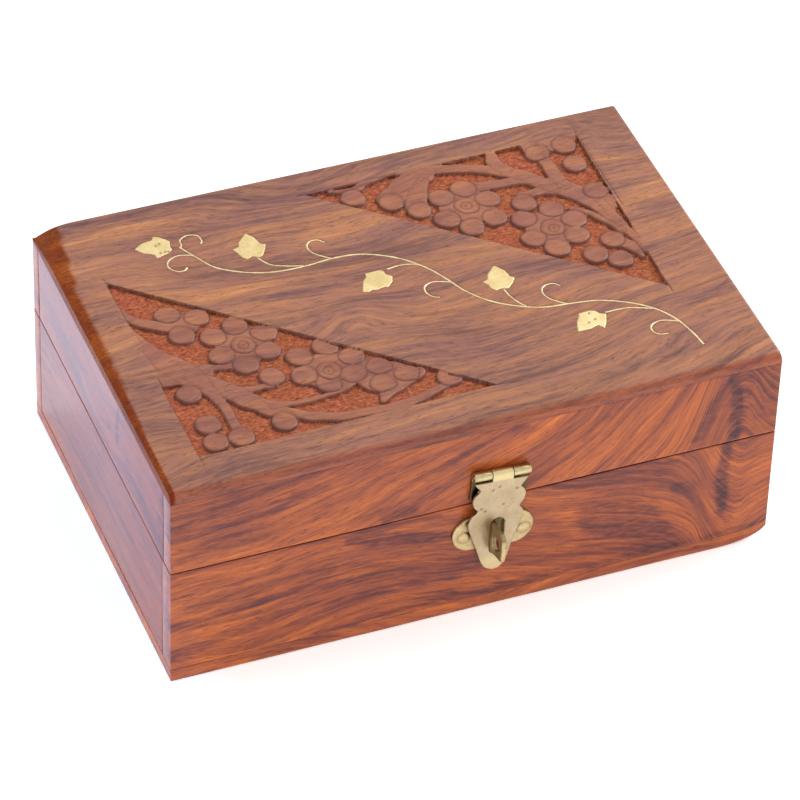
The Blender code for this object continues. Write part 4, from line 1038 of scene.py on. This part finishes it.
# ---- Brass -----------------------------------------------------------------------
def brass(name, bright, dull, rough, speckle=0.35):
    """Rolled brass: a soft cloudy tarnish, faint scratches and small dark specks."""
    g = Graph(name)
    cloudy = g.noise(g.place((0.22, 0.22, 0.22)), 4.0, 0.6)
    fine = g.noise(g.place((1.6, 1.6, 1.6)), 3.0, 0.6)
    scratches = g.noise(g.place((0.5, 0.5, 6.0), (0.0, 0.5, 0.0)), 2.0, 0.7)
    dirt = g.ramp(g.noise(g.place((0.9, 0.9, 0.9)), 2.0), ((0.30, 1.0), (0.36, 0.0)))
    worn = g.weighted((cloudy, 0.65), (fine, 0.35))
    colour = g.mix(g.ramp(worn, ((0.38, 0.0), (0.64, 1.0))), dull, bright)
    colour = g.mix(g.mask("polish"), colour, srgb(214, 197, 146))
    colour = g.mix(g.scaled(dirt, speckle), colour, srgb(70, 56, 28))
    # Where it is painted on the mesh, the brass is darkened by grime and by painted shade under the
    # flap and behind the staple's slot.
    colour = g.mix(g.mask("grime_and_shade"), colour, srgb(66, 52, 26))
    roughness = g.math("ADD", g.scaled(worn, 0.25), rough - 0.12)
    normal = g.bump(scratches, 0.00002, 0.5)
    normal = g.bump(fine, 0.00004, 0.3, normal)
    return g.finish(Base_Color=colour, Roughness=roughness, Normal=normal, Metallic=1.0)


def strip(name, line, width, node, sunk=0.0):
    """One inlaid wire: a flat strip with eased edges, not quite even in width."""
    line = np.array(line)
    count = len(line)
    ahead = np.gradient(line, axis=0)
    across = np.stack([-ahead[:, 1], ahead[:, 0]], axis=1)
    across /= np.linalg.norm(across, axis=1, keepdims=True)
    wobble = 1 + 0.4 * cloud(np.arange(count) * 0.9, np.zeros(count) + 4, len(name), 2)
    half = width / 2 * wobble[:, None]
    section = ((-1.0, -0.6), (-1.0, -0.05), (-0.55, 0.0), (0.55, 0.0), (1.0, -0.05), (1.0, -0.6))
    points = np.concatenate([
        np.hstack([line + across * half * side, np.full((count, 1), HEIGHT + rise - sunk)])
        for side, rise in section])
    points[:, :2] += (LEFT, FRONT)
    starts = [k * count for k in range(len(section))]
    faces = [(a + i, a + i + 1, b + i + 1, b + i)
             for a, b in zip(starts, starts[1:] + starts[:1]) for i in range(count - 1)]
    faces += [tuple(starts), tuple(a + count - 1 for a in starts)[::-1]]
    piece_of(name, points, faces, "lid", [node], wire_brass,
             {"grime_and_shade": np.zeros(len(points))})


def plate(distance, low, high, cell, front, back):
    """A sheet wherever distance(x, y) is below 0: its points (x, y, height) and faces."""
    xs = np.arange(low[0] - cell, high[0] + 2 * cell, cell)
    ys = np.arange(low[1] - cell, high[1] + 2 * cell, cell)
    grid_x, grid_y = (m.ravel() for m in np.meshgrid(xs, ys, indexing="ij"))
    far = distance(grid_x, grid_y)
    step = cell * 0.05
    slope_x = (distance(grid_x + step, grid_y) - far) / step
    slope_y = (distance(grid_x, grid_y + step) - far) / step
    steep = np.maximum(slope_x**2 + slope_y**2, 0.25)
    close = np.abs(far) < 0.3 * cell
    grid_x = np.where(close, grid_x - far * slope_x / steep, grid_x)
    grid_y = np.where(close, grid_y - far * slope_y / steep, grid_y)
    far = np.where(close, -1e-7, far)
    rows = len(ys)
    vertices, faces = Corners(), []
    for i in range(len(xs) - 1):
        for j in range(rows - 1):
            corners = [i * rows + j, (i + 1) * rows + j, (i + 1) * rows + j + 1, i * rows + j + 1]
            if all(far[c] >= 0 for c in corners):
                continue
            ring = []
            for a, b in zip(corners, corners[1:] + corners[:1]):
                if far[a] < 0:
                    ring.append(vertices.number(a, (grid_x[a], grid_y[a])))
                if (far[a] < 0) != (far[b] < 0):
                    t = far[a] / (far[a] - far[b])
                    ring.append(vertices.number(
                        (min(a, b), max(a, b)), (grid_x[a] + t * (grid_x[b] - grid_x[a]),
                                                 grid_y[a] + t * (grid_y[b] - grid_y[a]))))
            if len(ring) > 2:
                faces.append(tuple(ring))
    flat = np.array(vertices.places)
    inside = np.clip(-distance(flat[:, 0], flat[:, 1]), 0, None)
    count = len(flat)
    edges = {(a, b) for face in faces for a, b in zip(face, face[1:] + face[:1])}
    sides = [(a, a + count, b + count, b) for a, b in edges if (b, a) not in edges]
    faces += [tuple(v + count for v in face[::-1]) for face in faces]
    faces += sides
    points = np.vstack([
        np.column_stack([flat, front(flat[:, 0], flat[:, 1], inside)]),
        np.column_stack([flat, np.full(count, back) if np.isscalar(back)
                         else back(flat[:, 0], flat[:, 1], inside)]),
    ])
    return points, faces


def eased(height, inside, radius):
    """A height that rounds off within a radius of an edge."""
    t = np.clip(1 - inside / radius, 0, 1)
    return height - radius * (1 - np.sqrt(1 - t * t))


leaf_brass = brass("leaf_brass", srgb(236, 216, 168), srgb(218, 192, 134), 0.45, 0.12)
wire_brass = brass("wire_brass", srgb(238, 220, 176), srgb(214, 188, 142), 0.45, 0.1)
strip("vine", smooth_line(VINE, 8), WIRE_WIDTH, "vine_wire")
for kind, lines, width, sunk in (("stalk", STALKS, WIRE_WIDTH * 0.85, 0.01),
                                 ("tendril", TENDRILS, WIRE_WIDTH * 0.8, 0.02)):
    for i, line in enumerate(lines):
        strip(f"{kind}_{i + 1}", smooth_line(line, 8), width, f"{kind}_wire_{i + 1}", sunk)
# Small punched pits in two of the leaves.
PITS = {0: ((26.2, 83.1), (27.4, 83.2), (28.2, 83.0), (27.0, 86.5), (26.0, 86.0)),
        4: ((114.5, 28.7), (115.0, 26.3), (113.2, 25.6))}
for i, outline in enumerate(LEAVES):
    corners = np.array(outline)
    low, high = corners.min(0), corners.max(0)
    pits = PITS.get(i, ())

    def leaf_distance(x, y):
        return polygon_distance(x, y, corners) - 0.12

    def leaf_front(x, y, inside):
        dent = np.abs(cloud(x * 0.7, y * 0.7, 31 + i, 2)) * 0.03
        return eased(HEIGHT, inside, 0.08) - dent - spots(x, y, pits, 0.06) * 0.12

    points, faces = plate(leaf_distance, low, high, 0.22, leaf_front, HEIGHT - 0.7)
    grime_and_shade = spots(points[:, 0], points[:, 1], pits, 0.08)
    points[:, :2] += (LEFT, FRONT)
    piece_of(f"leaf_{i + 1}", points, faces, "lid", [f"brass_leaf_{i + 1}"],
             leaf_brass, {"grime_and_shade": grime_and_shade})

# ---- Hasp and hinges -----------------------------------------------------------
# Each is drawn round its barrel: u along it, h out from the board and v up.
SHEET_BACK, SHEET_FRONT = 0.15, 0.85
AXIS_OUT = 1.35             # the middle of a barrel from its board
BARREL = 1.2
BORE = 0.62
PIN_RADIUS = 0.55
TACK_OUT = 0.8              # how far from the board the rim of a nail's head is
HASP_TACKS, HASP_TACK_V = (-4.4, 4.4), -5.4
HINGE_TACKS, HINGE_TACK_V = (-5.4, 5.4), 5.4


def merged(*parts):
    """Meshes of (points, faces) as one."""
    points, faces, count = [], [], 0
    for more, rings in parts:
        points.append(more)
        faces += [tuple(v + count for v in ring) for ring in rings]
        count += len(more)
    return np.vstack(points), faces


def ring_faces(rings, around, first=0):
    """Faces between one ring of points and the next."""
    return [(a + i, a + (i + 1) % around, a + around + (i + 1) % around, a + around + i)
            for a in range(first, first + (rings - 1) * around, around) for i in range(around)]


def rolled(low, high, start, end):
    """A knuckle: sheet rolled round u from one angle to another, its ends eased."""
    turns = np.radians(np.linspace(start, end, 37))
    stations = ((low, 0.1), (low + 0.1, 0.0), (high - 0.1, 0.0), (high, 0.1))
    points = []
    for u, inset in stations:
        outer, inner = BARREL - inset, BORE + inset * 0.5
        points += [(u, AXIS_OUT + outer * math.cos(a), outer * math.sin(a)) for a in turns]
        points += [(u, AXIS_OUT + inner * math.cos(a), inner * math.sin(a)) for a in turns[::-1]]
    half = len(turns)
    n = 2 * half
    faces = ring_faces(4, n)
    for base, back in ((0, True), (3 * n, False)):
        caps = [(base + i, base + i + 1, base + n - 2 - i, base + n - 1 - i)
                for i in range(half - 1)]
        faces += [cap[::-1] if back else cap for cap in caps]
    if start < end:
        faces = [face[::-1] for face in faces]
    return np.array(points), faces


def pin(half):
    """A rod in a barrel, its ends eased."""
    around, blunt = 20, PIN_RADIUS * 0.7
    stations = ((-half, blunt), (0.12 - half, PIN_RADIUS), (half - 0.12, PIN_RADIUS), (half, blunt))
    points = [(u, AXIS_OUT + r * math.cos(a), r * math.sin(a)) for u, r in stations
              for a in np.linspace(0, 2 * math.pi, around, endpoint=False)]
    faces = ring_faces(4, around)
    faces += [tuple(range(around))[::-1], tuple(range(3 * around, 4 * around))]
    return np.array(points), [face[::-1] for face in faces]


def nail_head(u, v, base, radius, height, seed):
    """A domed head, a little out of round, with its shank down into the wood."""
    around = 28
    turns = np.linspace(0, 2 * math.pi, around, endpoint=False)
    wobble = 1 + 0.06 * np.sin(2 * turns + seed) + 0.03 * np.sin(3 * turns + 2 * seed)
    rings = [(0.0, height), (0.35, height * 0.96), (0.62, height * 0.82), (0.82, height * 0.58),
             (0.95, height * 0.28), (1.0, 0.0), (0.3, 0.0), (0.3, -2.6)]
    points = [(u, base + height, v)]
    for r, rise in rings[1:]:
        points += [(u + radius * r * w * math.cos(a), base + rise, v + radius * r * w * math.sin(a))
                   for a, w in zip(turns, wobble)]
    faces = [(0, 1 + (i + 1) % around, 1 + i) for i in range(around)]
    faces += ring_faces(len(rings) - 1, around, 1)
    last = 1 + (len(rings) - 2) * around
    faces.append(tuple(range(last, last + around)))
    return np.array(points), [face[::-1] for face in faces]


def sheet(distance, low, high, cell, front, back):
    """A plate in u and v, as points (u, h, v)."""
    points, faces = plate(distance, low, high, cell, front, back)
    return points[:, [0, 2, 1]], faces


hardware = brass("hardware_brass", srgb(214, 199, 154), srgb(178, 160, 114), 0.30)


def hardware_piece(name, mesh, place, node, material=hardware,
                   grime_and_shade=None, polish=None):
    """A piece drawn as (u, h, v), stood at its place: an origin and three directions."""
    points, faces = mesh
    origin, along, out, up = place
    world = origin + points[:, :1] * along + points[:, 1:2] * out + points[:, 2:] * up
    grime_and_shade = np.zeros(len(points)) if grime_and_shade is None else grime_and_shade
    polish = np.zeros(len(points)) if polish is None else polish
    piece_of(name, world, faces, body_of(node), [node], material,
             {"grime_and_shade": grime_and_shade, "polish": polish})


def rectangle(low_u, high_u, low_v, high_v, radius=0.0):
    """Signed distance outside a rectangle with rounded corners."""
    def distance(u, v):
        over_u = np.maximum(low_u + radius - u, u - high_u + radius)
        over_v = np.maximum(low_v + radius - v, v - high_v + radius)
        outside = np.hypot(np.maximum(over_u, 0), np.maximum(over_v, 0))
        return outside + np.minimum(np.maximum(over_u, over_v), 0) - radius
    return distance


# Outline of the flap below its barrel: sideways, and down from the barrel's axis.
FLAP_LEFT = (
    (-7.0, 0.9), (-6.5, 2.2), (-5.3, 3.9), (-6.5, 5.5), (-6.9, 7.2), (-6.2, 9.0),
    (-5.3, 10.1), (-6.7, 11.7), (-7.3, 13.7), (-7.1, 15.4), (-5.0, 20.8), (-2.9, 26.3),
    (-1.6, 28.2), (0.2, 29.1),
)
FLAP_RIGHT = (
    (1.7, 28.8), (3.0, 27.2), (3.7, 24.8), (4.6, 20.4), (5.8, 16.0), (6.5, 13.4),
    (6.2, 11.6), (5.2, 10.2), (6.1, 8.6), (6.4, 6.6), (5.8, 5.1), (5.0, 4.2),
    (5.8, 2.8), (6.8, 0.9),
)
FLAP_PITS = ((-2.2, -4.0), (-0.6, -3.2), (-4.6, -9.3), (-3.5, -10.2), (0.9, -8.8), (3.9, -4.6))
FLAP_BACK, FLAP_FRONT = 1.85, 2.55
SHOULDER = -1.5
HALF_BARREL, HALF_MIDDLE = 7.1, 2.6
SLOT_TOP, SLOT_BOTTOM, SLOT_HALF = 13.2, 24.4, 1.7
LOBE_APART, LOBE_RADIUS, WAIST = 5.25, 5.0, 3.6
STAPLE_V = -18.3
LUG = ((0.25, 4.2), (6.4, 3.5), (8.0, 2.3), (8.6, 0.8), (8.6, -2.6), (8.1, -3.7), (7.0, -4.2),
       (0.25, -4.2))
EYE, EYE_RADIUS = (5.0, -0.6), 1.6
LUG_U = -0.5                # the lug stands a little to the left in its slot

JOINTS = {joint["name"]: joint for joint in frame["record"]["behaviour"]["joints"]}
flap_joint = JOINTS["flap_hinge"]
barrel_along = -np.array(flap_joint["axis"])
barrel_up = np.array([-barrel_along[2], 0.0, barrel_along[0]])
OUT = np.array([0.0, -1.0, 0.0])
HASP = (np.array(flap_joint["pos_m"]) / MM - AXIS_OUT * OUT, barrel_along, OUT, barrel_up)

flap_finish = brass("flap_brass", srgb(194, 174, 143), srgb(174, 153, 121), 0.42, 0.15)
staple_finish = brass("staple_brass", srgb(212, 190, 144), srgb(180, 158, 112), 0.40, 0.3)


FLAP_OUTLINE = np.vstack([smooth_line(FLAP_LEFT, 4), smooth_line(FLAP_RIGHT, 4)]) * (1, -1)
FLAP_OUTLINE[:, 1] = np.minimum(FLAP_OUTLINE[:, 1], SHOULDER)
slot_shape = rectangle(-SLOT_HALF, SLOT_HALF, -SLOT_BOTTOM, -SLOT_TOP, SLOT_HALF - 0.05)
tongue_shape = rectangle(-HALF_MIDDLE, HALF_MIDDLE, SHOULDER - 1.0, 0.05)


def slot_distance(u, v):
    """Outside the flap's slot, which leans a little."""
    return slot_shape(u - 0.45 + (v + 19) * 0.03, v)


def flap_distance(u, v):
    flap = np.minimum(polygon_distance(u, v, FLAP_OUTLINE), tongue_shape(u, v))
    return np.maximum(flap, -slot_distance(u, v))


def flap_hollow(u, v):
    """The flap was pressed in round its slot, and isn't quite flat."""
    return (0.3 * np.exp(-(np.clip(slot_distance(u, v), 0, None) / 1.3) ** 2)
            + 0.12 * cloud(u * 0.12, v * 0.12, 63, 2)) * smooth_step(v, -1.0, -5.0)


def flap_front(u, v, inside):
    rounded = eased(FLAP_FRONT, inside, 0.16)
    top = smooth_step(v, -2.2, -1.4) * (np.abs(u) < HALF_MIDDLE + 0.1)
    return (rounded * (1 - top) + FLAP_FRONT * top - flap_hollow(u, v)
            - 0.1 * spots(u, v, FLAP_PITS, 0.07))


def flap_back(u, v, inside):
    return FLAP_BACK - flap_hollow(u, v)


flap_mesh = sheet(flap_distance, (-8, -30), (8, 1), 0.25, flap_front, flap_back)
flap_mesh = merged(flap_mesh, rolled(-HALF_MIDDLE, HALF_MIDDLE, 0, 325))
flap_u, _, flap_v = flap_mesh[0].T
flap_grime = 0.8 * spots(flap_u, flap_v, FLAP_PITS, 0.1)
flap_polish = smooth_step(flap_v, -1.5, -0.9) + 0.6 * smooth_step(-flap_v, 23.5, 26.5)
hardware_piece("hasp_flap_plate", flap_mesh, HASP, "hasp_flap", flap_finish,
               flap_grime, flap_polish)


def leaf_mesh(half, tall, spans, upward=False):
    """A hinge leaf hanging from its barrel, or standing on it, with its knuckles."""
    body = rectangle(-half, half, -tall, -1.35, 0.4)
    tongues = [rectangle(low, high, -1.6, 0.0) for low, high in spans]

    def distance(u, v):
        return np.min([shape(u, v) for shape in (body, *tongues)], axis=0)

    flat = sheet(distance, (-half, -tall), (half, 0), 0.3,
                 lambda u, v, inside: eased(SHEET_FRONT, inside, 0.15), SHEET_BACK)
    rolls = [rolled(low, high, 180, -145) for low, high in spans]
    points, faces = merged(flat, *rolls)
    if upward:
        points = points * (1, 1, -1)
        faces = [face[::-1] for face in faces]
    return points, faces


hasp_spans = ((-HALF_BARREL, -HALF_MIDDLE - 0.15), (HALF_MIDDLE + 0.15, HALF_BARREL))
hasp_leaf = leaf_mesh(HALF_BARREL, 8.0, hasp_spans)
# Painted shade: the leaf's plate under the flap is darkened all over below its knuckles.
hardware_piece("hasp_leaf", hasp_leaf, HASP, "hasp_lid_leaf",
               grime_and_shade=0.92 * smooth_step(-hasp_leaf[0][:, 2], 1.0, 1.8))
hardware_piece("hasp_barrel_pin", pin(HALF_BARREL + 0.1), HASP, "hasp_pin")
for i, u in enumerate(HASP_TACKS):
    tack = nail_head(u, HASP_TACK_V, TACK_OUT, 0.9, 0.3, i)
    hardware_piece(f"hasp_leaf_tack_{i + 1}", tack, HASP, f"hasp_leaf_nail_{i + 1}")


def staple_distance(u, v):
    v = v - STAPLE_V
    lobes = np.minimum(np.hypot(u - LOBE_APART, v), np.hypot(u + LOBE_APART, v)) - LOBE_RADIUS
    return np.minimum(lobes, rectangle(-LOBE_APART, LOBE_APART, -WAIST, WAIST)(u, v))


def staple_front(u, v, inside):
    return eased(SHEET_FRONT, inside, 0.25) - 0.05 * cloud(u * 0.3, v * 0.3, 71, 2) - 0.02


staple_mesh = sheet(staple_distance, (-11, -24), (11, -13), 0.25, staple_front, SHEET_BACK)


def lug_distance(out, up):
    eye = EYE_RADIUS - np.hypot(out - EYE[0], (up - EYE[1]) * 0.8)
    return np.maximum(polygon_distance(out, up, LUG), eye)


def lug_side(sign):
    def height(out, up, inside):
        bend = 0.35 * np.sin((out - 1.0) * 0.8) * np.clip(out / 5, 0, 1) + 0.03 * up
        return sign * (0.62 - 0.25 * (1 - np.clip(inside / 0.3, 0, 1)) ** 2) + bend
    return height


lug_points, lug_faces = plate(lug_distance, (0, -5), (9, 5), 0.25, lug_side(1), lug_side(-1))
lug_out, lug_up, lug_thick = lug_points.T
lug_points = np.stack([LUG_U - lug_thick, lug_out, lug_up + STAPLE_V], axis=1)
staple_mesh = merged(staple_mesh, (lug_points, lug_faces))
staple_u, staple_h, staple_v = staple_mesh[0].T
NAILS = (("left", -7.3), ("right", 7.7))
NAILS_V = STAPLE_V - 0.6
NAIL_RADIUS = 1.7
near_nail = np.min([np.hypot(staple_u - u, staple_v - NAILS_V) for _, u in NAILS], axis=0)
staple_grime_and_shade = 0.3 * np.exp(-((near_nail - NAIL_RADIUS - 0.05) / 0.25) ** 2)
# The lug is darker from where it comes through the flap to near its outer edge.
staple_grime_and_shade += (0.45 * smooth_step(staple_h, 1.4, 2.6) * smooth_step(8.3 - staple_h, 0.0, 0.5))
# Painted shade on the plate behind the slot and the lug.
staple_grime_and_shade += (0.9 * np.exp(-((staple_u - 0.7) / 1.5) ** 2)
                 * (1 - smooth_step(staple_h, 0.8, 1.2)))
hardware_piece("hasp_staple_plate", staple_mesh, HASP, "hasp_staple", staple_finish,
               grime_and_shade=staple_grime_and_shade)
for side, u in NAILS:
    hardware_piece(f"staple_dome_{side}", nail_head(u, NAILS_V, 0.75, NAIL_RADIUS, 0.7, u), HASP,
                   f"staple_nail_{side}", staple_finish)

BACK_OUT = np.array([0.0, 1.0, 0.0])
HINGE_APART, HINGE_HALF, HINGE_TALL = 46.0, 9.0, 8.0
HINGE_AXIS = np.array(JOINTS["lid_hinge"]["pos_m"]) / MM
fifth = HINGE_HALF * 2 / 5
edges = [(-HINGE_HALF + i * fifth, -HINGE_HALF + (i + 1) * fifth) for i in range(5)]
hinge_spans = [(low + 0.1 * (i > 0), high - 0.1 * (i < 4)) for i, (low, high) in enumerate(edges)]
for side, x in (("left", -HINGE_APART), ("right", HINGE_APART)):
    place = (np.array([x, 0, 0]) + HINGE_AXIS - AXIS_OUT * BACK_OUT,
             np.array([-1.0, 0.0, 0.0]), BACK_OUT, np.array([0.0, 0.0, 1.0]))
    for end, spans, sign in (("lid", hinge_spans[1::2], 1), ("box", hinge_spans[0::2], -1)):
        name = f"back_hinge_{side}_{end}"
        hardware_piece(name + "_plate", leaf_mesh(HINGE_HALF, HINGE_TALL, spans, sign > 0),
                       place, name + "_leaf")
        for i, u in enumerate(HINGE_TACKS):
            tack = nail_head(u, sign * HINGE_TACK_V, TACK_OUT, 1.15, 0.45, i + sign)
            hardware_piece(f"{name}_tack_{i + 1}", tack, place, f"{name}_nail_{i + 1}")
    hardware_piece(f"back_hinge_{side}_rod", pin(HINGE_HALF + 0.2), place,
                   f"back_hinge_{side}_pin")

# ---- Floor, light and camera ----------------------------------------------------
# Places and sizes here are in metres, as the scene has them.
FLOOR_HALF, FLOOR_BELOW = 30, 0.0002
KEY_PLACE, KEY_AIM, KEY_SIZE = Vector((0.95, 0.32, 0.9)), Vector((0, 0, 0.05)), 0.7
CAMERA_PLACE = (-0.3463, -0.8387, 0.8071)
CAMERA_TURN = (49.17457796, -1.59911563, -21.0663591)
CAMERA_LENS = 223.08

floor_mesh = bpy.data.meshes.new("floor")
floor_mesh.from_pydata([(x * FLOOR_HALF, y * FLOOR_HALF, 0)
                        for x, y in ((-1, -1), (1, -1), (1, 1), (-1, 1))], [], [(0, 1, 2, 3)])
floor = placed("floor", floor_mesh)
floor.location.z = -FLOOR_BELOW
paper = Graph("white_paper")
# It glows a little, like a light table, with bluish daylight from the left. The blue
# gives way to white over a width, in millimetres, round the left end of the box.
GLOW_TURN = 15.0
side = paper.node("SeparateXYZ", {0: paper.place((1.0, 1.0, 1.0))}, output="X")
side = paper.node("MapRange", {"Value": side, "From Min": LEFT - GLOW_TURN,
                               "From Max": LEFT + GLOW_TURN})
glow = paper.mix(side, (0.28, 0.56, 1.05), (0.36, 0.36, 0.35))
paper.finish(Base_Color=(0.93, 0.93, 0.93, 1.0), Roughness=0.9, Specular_IOR_Level=0.1,
             Emission_Color=glow, Emission_Strength=1.0)
floor_mesh.materials.append(paper.material)

world = bpy.data.worlds.new("studio")
bpy.context.scene.world = world
world.use_nodes = True
world.node_tree.nodes["Background"].inputs["Color"].default_value = (1.0, 1.0, 1.0, 1.0)
world.node_tree.nodes["Background"].inputs["Strength"].default_value = 1.05


lamp = bpy.data.lights.new("key", "AREA")
lamp.shape = "RECTANGLE"
lamp.size = lamp.size_y = KEY_SIZE
lamp.energy = 8.0
key_light = placed("key", lamp)
key_light.location = KEY_PLACE
key_light.rotation_euler = (KEY_AIM - KEY_PLACE).to_track_quat("-Z", "Y").to_euler()

camera = bpy.data.cameras.new("camera")
camera.lens = CAMERA_LENS
camera.sensor_width = 36.0
camera_object = placed("camera", camera)
camera_object.location = CAMERA_PLACE
camera_object.rotation_euler = [math.radians(a) for a in CAMERA_TURN]
bpy.context.scene.camera = camera_object
bpy.context.scene.view_settings.view_transform = "Standard"
